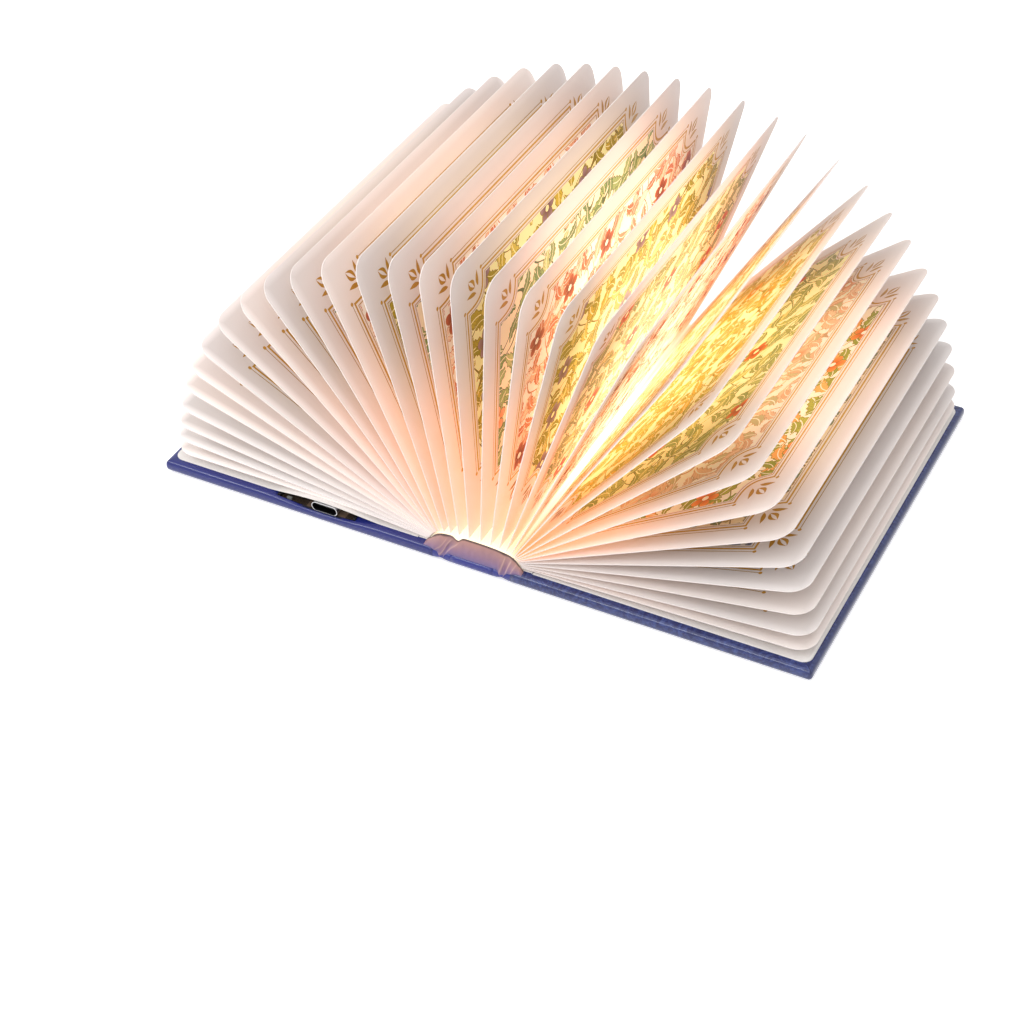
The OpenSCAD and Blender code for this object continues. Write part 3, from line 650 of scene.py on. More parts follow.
spine_x = np.linspace(-spine_half, spine_half, 9)
spine_points, spine_faces = folded_skin(spine_x, np.zeros(9), np.full(9, spine_thickness))
spine_paper = make_piece("spine_paper", spine_points, spine_faces[:, ::-1], spine_finish, "spine")
keep_open_place(spine_paper, spine_points)
thicken(spine_paper, paper)
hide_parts("spine_wrap", "spine_lining")

for cover_name, side in (("front", -1), ("back", 1)):
    joint_x = np.linspace(spine_half, cover_inner_x, 25)
    joint_low, joint_high = joint_heights(joint_x)
    joint_points, joint_faces = folded_skin(joint_x, joint_low, joint_high)
    joint_points = joint_points * [side, 1, 1]
    joint_faces = joint_faces if side < 0 else joint_faces[:, ::-1]
    joint = make_piece(f"{cover_name}_joint_paper", joint_points, joint_faces, spine_finish)
    keep_open_place(joint, joint_points)
    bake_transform(joint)
    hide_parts(f"joint_cloth_{cover_name}", f"joint_lining_{cover_name}")


# ---- Endpapers -------------------------------------------------------------------------------
# A heavy off-white sheet is pasted down inside each cover. The front one bridges the charging
# module and stands up over it as a low wave, whose lip covers the top of the port.
end_inner_x = 19.1
end_outer_x = 105.7
end_half_y = 67.4
end_corner = 3.0
end_thickness = 0.25
paste = 0.02
wave_rise = 2.55
wave_middle = 51.5
wave_half = 19.5
wave_start_y = -3.0
wave_fade = 17.0
lip_reach = 1.3
lip_start_y = -60.0


def rounded_sheet(inner, outer, half_y, corner, columns, rows):
    """Grid over a sheet with two rounded outer corners: each row runs from the inner edge to
    where the outline lets it, with closer rows round the corners."""
    bend = np.radians(np.linspace(90, 0, 7))
    straight_y = half_y - corner
    low_rows = -straight_y - corner * np.sin(bend)
    middle_rows = np.linspace(-straight_y, straight_y, rows)[1:-1]
    rows_y = np.concatenate([low_rows, middle_rows, -low_rows[::-1]])
    over = np.clip(np.abs(rows_y) - straight_y, 0, corner)
    reach = outer - corner + np.sqrt(corner ** 2 - over ** 2) - inner
    x = inner + reach[:, None] * np.linspace(0, 1, columns)
    y = np.repeat(rows_y[:, None], columns, 1)
    return x, y


def ease_off(distance, reach):
    """A half cosine from 1 at distance 0 or less to 0 at the reach or more."""
    return 0.5 + 0.5 * np.cos(np.pi * np.clip(distance / reach, 0, 1))


# Endpaper: uncoated offset paper, matt, with a faint cloud of fibres and a slight tooth.
endpaper_finish = grained("endpaper_uncoated", "#e4dfdc", "#f4f0ec", 1.43, 5.0, bump=(0.15, 0.1),
                          Roughness=0.72)

for cover_name, side in (("front", -1), ("back", 1)):
    sheet_x, sheet_y = rounded_sheet(end_inner_x, end_outer_x, end_half_y, end_corner, 90, 60)
    rise = np.zeros_like(sheet_x)
    if side < 0:
        wave = np.cos(np.clip(np.abs(sheet_x - wave_middle) / wave_half, 0, 1) * np.pi / 2) ** 1.2
        rise = wave_rise * wave * ease_off(sheet_y - wave_start_y, wave_fade)
        lip = np.clip((lip_start_y - sheet_y) / (end_half_y + lip_start_y), 0, 1)
        sheet_y = sheet_y - lip_reach * wave * lip
    sheet_z = cover_thickness + paste + end_thickness + rise
    sheet_points = np.stack([side * sheet_x, sheet_y, sheet_z], -1).reshape(-1, 3)
    sheet_faces = grid_faces(*sheet_x.shape)
    sheet_faces = sheet_faces if side > 0 else sheet_faces[:, ::-1]
    endpaper = make_piece(f"{cover_name}_endpaper_sheet", sheet_points, sheet_faces, endpaper_finish,
                          f"{cover_name}_cover")
    thicken(endpaper, end_thickness - paste / 2)
    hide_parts(f"{cover_name}_endpaper")


# ---- Charging module -------------------------------------------------------------------------
# A black moulded tray let into the front board holds a pouch cell and a dark circuit board with
# a nickel-plated charging port, a tiny charge light and the sensor that switches the lamp on.
def dress(node, material):
    """Gives a carried-over CAD node its finish."""
    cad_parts[node].data.materials.clear()
    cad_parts[node].data.materials.append(material)


# Black ABS, moulded in a spark-eroded tool: a fine grain and a broad, soft sheen.
tray_finish = grained("black_abs_moulded", "#141417", "#26262a", 0.25, bump=(0.2, 0.05), Roughness=0.55)
dress("module_tray", tray_finish)
dress("open_sensor", tray_finish)

# Circuit board: dark solder mask, half glossy, over copper tracks about 2.4 mm apart, which are drawn
# coarser than real ones so that they show. Within 6.8 mm either side of the port it is pale brown; further
# out it is dark, partly the mask's own colour and partly painted shade of the gap round the module.
port_x = -50.5
pale_half = 6.8
mask_finish, mask_tree, mask_shader = finish("solder_mask_dark", Roughness=0.35)
mask_place = add(mask_tree, "TexCoord")["Object"]
tracks = add(mask_tree, "TexBrick", {
    "Vector": mask_place, "Color1": linear("#171210"), "Color2": linear("#1f1813"),
    "Mortar": linear("#54432f"), "Scale": 1 / (2.38 * MM), "Mortar Size": 0.03})[0]
mask_across = add(mask_tree, "SeparateXYZ", {0: mask_place})[0]
# Pale brown near the port, and dark further out, which is partly painted shade of the gap.
mask_near_port = {0: mask_across, 1: port_x * MM, 2: pale_half * MM}
mask_side = add(mask_tree, "Math", mask_near_port, operation="COMPARE")[0]
mask_tone = add(mask_tree, "Mix", {0: mask_side, 6: tracks, 7: linear("#6e5a4b")}, data_type="RGBA")[2]
mask_tree.links.new(mask_tone, mask_shader.inputs["Base Color"])
dress("control_board", mask_finish)

# Disc magnets: barrel-plated nickel, mirror bright with a cloud of fine wear.
nickel_finish = grained("nickel_plated_steel", "#b9babd", "#dcdde0", 0.833, 3.0, rough=(0.18, 0.34),
                        Metallic=1.0)
dress("front_magnets", nickel_finish)
dress("back_magnets", nickel_finish)

# Port: the shell is drawn nickel-plated steel, bright only on its rim, and inside the rim it is near black:
# partly the black moulded plastic inside it, partly painted shade of its opening. Inside is less than the
# half height less the wall from its middle line.
port_middle = (port_x, 0, 4.72)
port_straight_half = 2.87
port_inner_radius = 1.4
port_finish, port_tree, port_shader = finish("drawn_steel_shell_black_inside", Roughness=0.3)
port_place = add(port_tree, "TexCoord")["Object"]
port_place = add(port_tree, "VectorMath", {0: port_place, "Scale": 1 / MM}, operation="SCALE")[0]
port_local = add(port_tree, "VectorMath", {0: port_place, 1: port_middle}, operation="SUBTRACT")[0]
port_axes = add(port_tree, "SeparateXYZ", {0: port_local})
port_side = add(port_tree, "Math", {0: port_axes[0]}, operation="ABSOLUTE")[0]
port_side = add(port_tree, "Math", {0: port_side, 1: port_straight_half}, operation="SUBTRACT")[0]
port_side = add(port_tree, "Math", {0: port_side, 1: 0.0}, operation="MAXIMUM")[0]
port_section = add(port_tree, "CombineXYZ", {0: port_side, 1: port_axes[2]})[0]
port_radius = add(port_tree, "VectorMath", {0: port_section}, operation="LENGTH")["Value"]
port_rim = add(port_tree, "Math", {0: port_radius, 1: port_inner_radius}, operation="GREATER_THAN")[0]
# Painted shade with the black plastic: near black inside the rim, metal on the rim.
port_tones = {0: port_rim, 6: linear("#0a0a0b"), 7: linear("#cfd0d3")}
port_tone = add(port_tree, "Mix", port_tones, data_type="RGBA")[2]
port_tree.links.new(port_tone, port_shader.inputs["Base Color"])
port_tree.links.new(port_rim, port_shader.inputs["Metallic"])
dress("usb_c_port", port_finish)

# Pouch cell: aluminium laminate foil, a satin grey metal with shallow crinkles.
foil_finish = grained("aluminium_laminate_foil", "#a9abaf", "#c8cacd", 2.0, 4.0, bump=(0.3, 0.1),
                      Metallic=0.8, Roughness=0.4)
dress("battery", foil_finish)

# Charge light: a cast epoxy lens, grey while it is off, and glossy.
lens_finish = grained("clear_epoxy_lens", "#6f6f6c", "#8a8a86", 0.4, Roughness=0.15)
dress("charge_light", lens_finish)


# ---- Light bar -------------------------------------------------------------------------------
# A satin aluminium channel screwed along the spine holds a strip of warm light chips under an
# opal diffuser, with a white moulded cap at each end. A flat lead joins it to the module.

# Extruded aluminium, satin anodised: fine lines run along the channel and stretch the highlight.
die_lines = (0.333, 50.0, 0.333)
die_scale = [1 / (spacing * MM) for spacing in die_lines]
channel_finish, channel_tree, channel_shader = finish("anodised_aluminium_satin", Metallic=1.0)
channel_place = add(channel_tree, "TexCoord")["Object"]
drawn = add(channel_tree, "Mapping", {"Vector": channel_place, "Scale": die_scale})
drawn_lines = add(channel_tree, "TexNoise", {"Vector": drawn[0], "Scale": 1.0, "Detail": 2.0})[0]
channel_tones = {0: drawn_lines, 6: linear("#c4c5c8"), 7: linear("#dddee0")}
channel_tone = add(channel_tree, "Mix", channel_tones, data_type="RGBA")[2]
channel_rough = add(channel_tree, "MapRange", {0: drawn_lines, 3: 0.3, 4: 0.45})[0]
channel_tree.links.new(channel_tone, channel_shader.inputs["Base Color"])
channel_tree.links.new(channel_rough, channel_shader.inputs["Roughness"])
dress("led_channel", channel_finish)

# White ABS, moulded: a fine grain, warm white, with a soft sheen.
white_finish = grained("white_abs_moulded", "#f1eee6", "#fbf9f3", 0.286, bump=(0.15, 0.05), Roughness=0.45)
for white_node, white_slot in (("led_board", "led_strip"), ("led_cap_tail", "white_cap"),
                               ("led_cap_head", "white_cap")):
    dress(white_node, white_finish)

# Opal acrylic and phosphor: lit from inside, nearly white with a faint cloud of warmer light.
opal_finish = grained("opal_acrylic_lit", "#fff0cf", "#ffe6b4", 11.1, glow=2.5, Roughness=0.4)
dress("led_diffuser", opal_finish)
chip_finish = grained("phosphor_chip_lit", "#ffe9a8", "#ffd982", 11.1, glow=4.0, Roughness=0.4)
dress("leds", chip_finish)

# Flat lead: copper strips that show brown through a clear polyester film, glossy on its surface.
# A wave's bands repeat every tenth of pi of its scaled coordinate.
strip_pitch = 0.982
lead_finish, lead_tree, lead_shader = finish("flat_lead_film", Roughness=0.4)
lead_place = add(lead_tree, "TexCoord")["Object"]
lead_bands = {"Vector": lead_place, "Scale": math.pi / 10 / (strip_pitch * MM)}
lead_stripe = add(lead_tree, "TexWave", lead_bands, bands_direction="Y")[0]
lead_tones = {0: lead_stripe, 6: linear("#e2ddd0"), 7: linear("#b07a46")}
lead_tone = add(lead_tree, "Mix", lead_tones, data_type="RGBA")[2]
lead_tree.links.new(lead_tone, lead_shader.inputs["Base Color"])
lead_thickness = 0.24
lead_y = (-56.9, -53.1)
lead_route = ((-43.6, 3.25), (-41.2, 3.25), (-39.6, 2.6), (-38.6, 1.68), (-30, 1.68), (-20, 1.68),
              (-13, 1.68), (-11.2, 1.68), (-9.7, 1.68), (-8.2, 1.68), (-6.2, 1.68), (-5.5, 2.3),
              (-4.8, 3.3), (-4.2, 4.42), (-3.5, 4.58), (-2, 4.58))
lead_points = [(x, y, z + lead_thickness / 2) for x, z in lead_route for y in lead_y]
lead = make_piece("flat_lead", lead_points, grid_faces(len(lead_route), 2)[:, ::-1], lead_finish)
thicken(lead, lead_thickness)
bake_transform(lead)
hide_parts("lamp_lead")


# ---- Leaf film -------------------------------------------------------------------------------
# The leaves stand on a translucent white film that arches over the light bar with the lamp open
# and is glued down along both covers. Lit from below, it is the brightest thing in the gutter.
arch_foot = 15.5
arch_rise = 5.6
arch_z = 4.2
arch_shape = np.array([(0, 1), (0.225, 0.993), (0.45, 0.966), (0.62, 0.915), (0.735, 0.835), (0.826, 0.71),
                       (0.89, 0.545), (0.942, 0.345), (0.981, 0.14), (1.006, 0.02)])
crown_points = 3
foot_line = np.array([(15.6, arch_z), (18.9, arch_z)])
film_thickness = 0.3
film_half_y = 67.1
film_sag = 0.7
dent = 1.5
dent_x = -5.8
dent_half = 1.3
bar_end_y = 63.2
dark_x = 15.0
lit_x = 11.0

# Lighting film: matt translucent polyester. It glows evenly over the bar and turns to plain
# white where it lies on the covers.
film_finish, film_tree, film_shader = finish("translucent_film_lit", Roughness=0.45)
film_place = add(film_tree, "TexCoord")["Object"]
film_side = add(film_tree, "SeparateXYZ", {0: film_place})[0]
film_side = add(film_tree, "Math", {0: film_side}, operation="ABSOLUTE")[0]
film_lit = add(film_tree, "MapRange", {0: film_side, 1: dark_x * MM, 2: lit_x * MM},
               interpolation_type="SMOOTHSTEP")[0]
film_cloud = add(film_tree, "TexNoise", {"Vector": film_place, "Scale": 1 / (11.1 * MM)})[0]
film_tones = {0: film_cloud, 6: linear("#fff6e4"), 7: linear("#ffedcb")}
film_tone = add(film_tree, "Mix", film_tones, data_type="RGBA")[2]
film_light = add(film_tree, "Mix", {0: film_lit, 6: linear("#000000"), 7: film_tone}, data_type="RGBA")[2]
film_tree.links.new(film_tone, film_shader.inputs["Base Color"])
film_tree.links.new(film_light, film_shader.inputs["Emission Color"])
film_shader.inputs["Emission Strength"].default_value = 0.5


def film_drop(x, y):
    """How far the film's ends hang below its arch, past the light bar: a sag that eases in along
    the lamp as a power, and one dent across it shaped as a bell curve."""
    past = np.clip((np.abs(y) - bar_end_y) / (film_half_y - bar_end_y), 0, 1) ** 1.4
    shape = np.clip(1.35 - (x / arch_foot) ** 2, 0, 1)
    return past * (film_sag * shape + dent * np.exp(-((x - dent_x) / dent_half) ** 2))


def film_strip(name, route, material):
    """A strip of film: a line across the lamp, spaced evenly by its length and set off by half
    the thickness, carried along the spine with closer points towards head and tail."""
    columns, rows = 30, 60
    lengths = np.concatenate([[0], np.cumsum(np.linalg.norm(np.diff(route, axis=0), axis=1))])
    share = lengths / lengths[-1]
    steps = np.linspace(0, 1, columns)
    line = np.stack([np.interp(steps, share, route[:, 0]), np.interp(steps, share, route[:, 1])], -1)
    step = np.gradient(line, axis=0)
    normal = np.stack([-step[:, 1], step[:, 0]], -1) / np.linalg.norm(step, axis=1)[:, None]
    line = line + normal * film_thickness / 2
    x, z = line[:, :1], line[:, 1:]
    y = film_half_y * np.sin(np.linspace(-np.pi / 2, np.pi / 2, rows))[None, :]
    points = np.stack([x + 0 * y, y + 0 * x, z - film_drop(x, y)], -1)
    piece = make_piece(name, points.reshape(-1, 3), grid_faces(columns, rows)[:, ::-1], material)
    return thicken(piece, film_thickness)


arch = np.stack([arch_shape[:, 0] * arch_foot, arch_z + arch_shape[:, 1] * arch_rise], -1)
for cover_name, side in (("front", -1), ("back", 1)):
    order = slice(None, None, side)
    crown_line, shoulder_line = arch[:crown_points], arch[crown_points - 1:]
    crown = film_strip(f"{cover_name}_film_crown", (crown_line * [side, 1])[order], film_finish)
    shoulder = film_strip(f"{cover_name}_film_shoulder", (shoulder_line * [side, 1])[order], film_finish)
    foot = film_strip(f"{cover_name}_film_foot", (foot_line * [side, 1])[order], endpaper_finish)
    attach(crown, "spine")
    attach(shoulder, "spine")
    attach(foot, f"{cover_name}_cover")
    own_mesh(crown)
    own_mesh(shoulder)
    if side < 0:
        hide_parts("block_lining")


# ---- End flaps -------------------------------------------------------------------------------
# The lining is turned up at the head and tail of the spine and closes the arch, so that no light
# gets out there. It is glued to the film's edge and creases where the covers hinge.
flap_steps = 16
flap_columns = 60
lobe_start = 7.5
flap_end = 16.3
flap_play = 0.07
flap_rim = np.array([(0, 9.85), (3.5, 9.8), (7.0, 9.6), (9.6, 9.1), (11.3, 8.75), (12.6, 7.9), (13.8, 6.95),
                     (15.5, 5.5), (16.3, 4.3)])


def bell(distance, width):
    """A bell curve: 1 where the distance is 0, and a smooth fall over the width on both sides."""
    return np.exp(-(distance / width) ** 2)


def flap_grid(x, head):
    """The flap over columns x and steps t from its foot to the film's edge. The foot follows the
    round end of the spine, joint or cover at an angle that drops into the groove. Between them the
    surface bulges as a parabola in t, and bell curves in x crease it at the groove and beside it.
    Its marks are t and how far each point is on the ridge of a fold, where a highlight is painted."""
    side = np.abs(x)[:, None]
    t = np.linspace(0, 1, flap_steps)[None, :]
    low, high = joint_heights(np.clip(side, spine_half, cover_inner_x))
    low, high = np.where(side < spine_half, 0, low), np.where(side < spine_half, spine_thickness, high)
    half = (high - low) / 2
    round_y = np.minimum(half, edge_radius)
    angle = np.radians(56 - 66 * bell(side - 10.0, 0.9) - 16 * bell(side - 12.4, 1.6))
    foot_y = cover_height / 2 - round_y + (round_y + flap_play) * np.cos(angle)
    foot_z = low + half + (half + flap_play) * np.sin(angle)
    rim_y = film_half_y + 0.05 + 0.4 * np.clip(side - 13.6, 0, 1)
    rim_z = np.interp(side, *flap_rim.T) - film_drop(x[:, None], np.full_like(side, film_half_y))
    slope = np.where(x < 0, -4.2, 1.3)[:, None] * t
    first = side - 10.1 - slope
    bulge = 0.55 + 0.75 * bell(side - 12.4, 1.7) - 1.1 * bell(first, 0.9) - 0.35 * bell(first - 2.0, 0.55)
    bulge = bulge + 0.06 * np.sin(x * 2.9)[:, None]
    y = foot_y * (1 - t) + rim_y * t + bulge * 4 * t * (1 - t) * (1 - 0.4 * t)
    z = foot_z + (rim_z - foot_z) * t ** 1.1
    points = np.stack([x[:, None] + 0 * t, y if head else -y, z], -1).reshape(-1, 3)
    faces = grid_faces(len(x), flap_steps)
    ridge = bell(np.abs(first) - 1.05, 0.22) + 0.7 * bell(first - 2.7, 0.2)
    ridge = ridge * np.clip(t * 6, 0, 1) * np.clip((0.93 - t) * 6, 0, 1)
    marks = np.stack([t + 0 * ridge, ridge, 0 * ridge], -1).reshape(-1, 3)
    return points, faces[:, ::-1] if head else faces, marks


# Flap: the same laminate as the lining, mauve at its foot, with painted light that turns it lighter and
# browner up towards the glowing film, and a dark band along its top edge. It crumples a little, with a
# cloud of painted shade over the crumples and a painted highlight along the ridges of its folds.
# Painted light: the tones run from mauve at the foot to a lit brown by the film; the last stop is a dark
# band along the top edge.
flap_colour_and_glow = ((0.0, "#6a6094"), (0.35, "#8d6f8c"), (0.9, "#b1857c"), (0.97, "#3d2a26"))
flap_finish, flap_tree, flap_shader = finish("lining_laminate_creased", Roughness=0.4)
flap_place = add(flap_tree, "TexCoord")["Object"]
flap_marks = add(flap_tree, "Attribute", attribute_name="height_and_fold")["Vector"]
flap_marks = add(flap_tree, "SeparateXYZ", {0: flap_marks})
flap_cloud = add(flap_tree, "TexNoise", {"Vector": flap_place, "Scale": 1 / (3.85 * MM), "Detail": 3.0})[0]
flap_tone = add(flap_tree, "ValToRGB", {0: flap_marks[0]})[0]
ramp = flap_tone.node.color_ramp
for place, _ in flap_colour_and_glow[1:-1]:
    ramp.elements.new(place)
for stop, (place, tone) in zip(ramp.elements, flap_colour_and_glow):
    stop.position = place
    stop.color = linear(tone)
# Painted shade: the noise cloud darkens the crumpled flap towards a dull mauve brown.
flap_shade = add(flap_tree, "MapRange", {0: flap_cloud, 1: 0.35, 2: 0.75, 3: 0.0, 4: 0.35})[0]
# Painted highlight: a pale pink along the ridges of the folds.
flap_fold_highlight = add(flap_tree, "Math", {0: flap_marks[1], 1: 0.55}, operation="MULTIPLY")[0]
for share, tone in ((flap_shade, "#7a5f6c"), (flap_fold_highlight, "#d9b3a4")):
    flap_tone = add(flap_tree, "Mix", {0: share, 6: flap_tone, 7: linear(tone)}, data_type="RGBA")[2]
flap_bump = add(flap_tree, "Bump", {"Strength": 0.35, "Distance": 0.3 * MM, "Height": flap_cloud})[0]
flap_tree.links.new(flap_tone, flap_shader.inputs["Base Color"])
flap_tree.links.new(flap_bump, flap_shader.inputs["Normal"])

flap_parts = (("front", -flap_end, -lobe_start), ("middle", -lobe_start, lobe_start),
              ("back", lobe_start, flap_end))
for end_name, head in (("tail", False), ("head", True)):
    for part_name, start_x, end_x in flap_parts:
        flap_x = np.linspace(start_x, end_x, flap_columns)
        flap_points, flap_faces, flap_mark = flap_grid(flap_x, head)
        flap = make_piece(f"{end_name}_lining_flap_{part_name}", flap_points, flap_faces, flap_finish)
        marks = flap.data.attributes.new("height_and_fold", "FLOAT_VECTOR", "POINT")
        marks.data.foreach_set("vector", flap_mark.astype(np.float32).ravel())
        if part_name == "middle":
            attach(flap, "spine")
            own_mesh(flap)
        else:
            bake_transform(flap)


# ---- Leaves ----------------------------------------------------------------------------------
# Thirty-two leaves of thin synthetic paper, printed on both faces with small flowers and foliage
# inside a gold double frame, with round outer corners. Light passes up between and through them,
# so each face glows: hot white by the film, then yellow, peach, and grey at its outer edge.
leaf_width = 90.3
leaf_half_y = 67.3
leaf_thickness = 0.24
leaf_corner = 6.0
uv_per_mm = 0.01

# The gold frame: its inset from the leaf's edges and base, the corner notch, and the lines, each
# by its depth from the frame's outline and half its width.
frame_margin = 6.5
frame_inner = 9.0
frame_end = 7.0
notch_x = 8.8
notch_y = 10.0
thin_line = {1: 0.2, 2: 0.15}
thick_line = {1: 1.5, 2: 0.34}
fine_line = {1: 2.7, 2: 0.15}
print_depth = 3.2
notch_gap = 0.4
bead_places = ((0.2, notch_y + 1.0, 0), (notch_x + 1.0, 0.2, 0))
bead_radius = 0.6
motif_size = 12.5
flower_rarity = 0.45
page_step = (31.7, 17.3)

# The light on the leaves: its peak, its level by a back leaf's lean in degrees, and where it fades
# along the leaf and towards head and tail. In the end margins it is weaker. A low leaf's edges
# catch some of it too, more on the front side.
glow_peak = 1.2
front_level = 0.72
margin_level = 0.3
bright_u = 45
back_fade = 80
front_fade = 62
bright_half_y = 16
end_fade = 49
margin_u = 22
margin_fade = 54
front_edge_level = 0.3
back_edge_level = 0.1
edge_light_reach = 2.8
glow_by_lean = np.array([(20, 0.08), (26, 0.42), (32, 0.64), (38, 0.62), (52, 0.66), (62, 0.82),
                         (70, 0.86), (78, 1.02), (90, 0.9)])


def print_finish(name, margin, ground, leaf_tones, flower_tone, heart_tone, line_tone, seed):
    """Offset print on synthetic paper, from the page's own coordinates in mm. The frame's depth
    is the distance inside a rectangle, cut at each corner by a squarish oval (a fourth-power one).
    The paper glows by its attribute "glow", tinted by the print, and a little more by its edge."""
    material, tree, shader = finish(name, Roughness=0.55)
    place = add(tree, "UVMap", uv_map="page")[0]
    place = add(tree, "VectorMath", {0: place, "Scale": 1 / uv_per_mm}, operation="SCALE")[0]
    axes = add(tree, "SeparateXYZ", {0: place})
    outer = add(tree, "Math", {0: leaf_width - frame_margin, 1: axes[0]}, operation="SUBTRACT")[0]
    inner = add(tree, "Math", {0: axes[0], 1: frame_inner}, operation="SUBTRACT")[0]
    across = add(tree, "Math", {0: outer, 1: inner}, operation="MINIMUM")[0]
    middle = add(tree, "Math", {0: axes[1], 1: leaf_half_y}, operation="SUBTRACT")[0]
    away = add(tree, "Math", {0: middle}, operation="ABSOLUTE")[0]
    along = add(tree, "Math", {0: leaf_half_y - frame_end, 1: away}, operation="SUBTRACT")[0]
    box = add(tree, "Math", {0: across, 1: along}, operation="MINIMUM")[0]
    corner = add(tree, "CombineXYZ", {0: across, 1: along})[0]
    notch = add(tree, "VectorMath", {0: corner, 1: (1 / notch_x, 1 / notch_y, 0)}, operation="MULTIPLY")[0]
    notch = add(tree, "VectorMath", {0: notch, 1: notch}, operation="MULTIPLY")[0]
    notch = add(tree, "VectorMath", {0: notch}, operation="LENGTH")["Value"]
    notch = add(tree, "Math", {0: notch}, operation="SQRT")[0]
    notch = add(tree, "Math", {0: notch, 1: notch_x, 2: -notch_x}, operation="MULTIPLY_ADD")[0]
    depth = add(tree, "Math", {0: box, 1: notch}, operation="MINIMUM")[0]
    thin = add(tree, "Math", {0: box, **thin_line}, operation="COMPARE")[0]
    beyond = add(tree, "Math", {0: notch, 1: notch_gap}, operation="GREATER_THAN")[0]
    thin = add(tree, "Math", {0: thin, 1: beyond}, operation="MULTIPLY")[0]
    thick = add(tree, "Math", {0: depth, **thick_line}, operation="COMPARE")[0]
    fine = add(tree, "Math", {0: depth, **fine_line}, operation="COMPARE")[0]
    inside = add(tree, "Math", {0: depth, 1: print_depth}, operation="GREATER_THAN")[0]
    for bead in bead_places:
        spot = add(tree, "VectorMath", {0: corner, 1: bead}, operation="DISTANCE")["Value"]
        spot = add(tree, "Math", {0: spot, 1: bead_radius}, operation="LESS_THAN")[0]
        thick = add(tree, "Math", {0: thick, 1: spot}, operation="MAXIMUM")[0]
    lines = add(tree, "Math", {0: thin, 1: fine}, operation="MAXIMUM")[0]
    gold = add(tree, "Math", {0: thick, 1: lines}, operation="MAXIMUM")[0]
    page_start = (seed * page_step[0], seed * page_step[1], 0)
    shifted = add(tree, "VectorMath", {0: place, 1: page_start}, operation="ADD")[0]
    print_colour = foliage(tree, shifted, ground, leaf_tones, flower_tone, heart_tone, line_tone,
                           motif_size, flower_rarity)
    inked = linear(margin)
    for share, ink in ((inside, print_colour), (lines, linear("#b08a52")), (thick, linear("#c08d34"))):
        inked = add(tree, "Mix", {0: share, 6: inked, 7: ink}, data_type="RGBA")[2]
    tree.links.new(inked, shader.inputs["Base Color"])
    glow = add(tree, "Attribute", attribute_name="glow")
    shone = linear("#f7dccb")
    for share, light in ((inside, print_colour), (gold, linear("#dcc878")),
                         (glow["Alpha"], linear("#ffffff"))):
        shone = add(tree, "Mix", {0: share, 6: shone, 7: light}, data_type="RGBA")[2]
    tinted = {0: 1.0, 6: shone, 7: glow["Color"]}
    shone = add(tree, "Mix", tinted, data_type="RGBA", blend_type="MULTIPLY")[2]
    edge = {0: box, 1: -frame_margin, 2: edge_light_reach - frame_margin, 3: 1.0, 4: 0.0}
    edge = add(tree, "MapRange", edge)[0]
    edge_level = add(tree, "Attribute", attribute_name="edge_light")["Fac"]
    edge = add(tree, "Math", {0: edge, 1: edge_level}, operation="MULTIPLY")[0]
    shone = add(tree, "Mix", {0: 1.0, 6: shone, 7: edge}, data_type="RGBA", blend_type="ADD")[2]
    tree.links.new(shone, shader.inputs["Emission Color"])
    shader.inputs["Emission Strength"].default_value = glow_peak
    material.cycles.emission_sampling = "NONE"
    return material


# Inks of each print: margin, ground, three pairs of leaf tones, flower, heart, outline, and where
# in the pattern the page starts.
prints = {
    "sage": ("#e8deda", "#fbeccb",
             (("#7f9c5a", "#a8b76c"), ("#c2c983", "#93a968"), ("#6c8a55", "#8aa05e")),
             "#f2b184", "#dd8a58", "#55663c", 1.0),
    "rose": ("#f6eae4", "#fff9f3",
             (("#f3c9ae", "#e9ab8c"), ("#fbe6d6", "#f3c8a8"), ("#dc8c6c", "#cf745a")),
             "#c0624a", "#7c3830", "#bd7c62", 2.0),
    "olive": ("#e8dedb", "#fbeebc",
              (("#b39a2c", "#d8b542"), ("#e9d274", "#cbaa38"), ("#9a8a2a", "#b89b30")),
              "#a8848c", "#7a5060", "#8a7228", 3.0),
    "gold": ("#eee3dd", "#fdf1c4",
             (("#dda838", "#eac052"), ("#c9b04a", "#dcc25a"), ("#b0a040", "#c8b24c")),
             "#f2bc52", "#c8822e", "#a58c38", 4.0),
    "meadow": ("#eee3dd", "#fdf0bc",
               (("#a8aa62", "#c6bc6a"), ("#d8c872", "#b8b268"), ("#949a58", "#aca660")),
               "#e2703a", "#b03c24", "#8a8450", 5.0),
    "peach": ("#f0e5df", "#fdf0df",
              (("#f2cdae", "#e8bb98"), ("#c0b48a", "#d2bf96"), ("#eec6a6", "#dfae8a")),
              "#f4caac", "#df9870", "#c49a78", 6.0),
    "orange": ("#f0e5df", "#fef6dc",
               (("#a0a842", "#b8b850"), ("#f0a858", "#f6bc70"), ("#8a9a38", "#a0a444")),
               "#f2984a", "#d0682c", "#8a8234", 7.0),
    "autumn": ("#e9dfda", "#f3dcb4",
               (("#8a9474", "#a3a27c"), ("#c8aa70", "#b09a68"), ("#7a8a68", "#8a9470")),
               "#b9502e", "#80281a", "#8a6a42", 8.0),
    "slate": ("#e6dfdc", "#d9d0ca",
              (("#8688a0", "#a0a0ac"), ("#aeaaac", "#9493a2"), ("#666a7c", "#7e8190")),
              "#8f7a98", "#665872", "#5f5c68", 9.0),
}
print_finishes = {key: print_finish(f"{key}_print_on_leaf", *inks) for key, inks in prints.items()}
leaf_prints = (["slate", "autumn", "slate", "peach"] + ["rose", "olive", "sage"] * 4
               + ["rose", "olive", "meadow", "rose", "gold", "gold", "meadow", "peach", "orange",
                  "autumn", "slate", "slate", "autumn", "slate", "peach"])

# Cut edge: the paper's core, matt and a little pinkish white, with the faintest light in it.
edge_finish = grained("leaf_cut_edge", "#e6dcd9", "#f1e9e6", 3.33, glow=0.06, Roughness=0.6)
edge_finish.cycles.emission_sampling = "NONE"

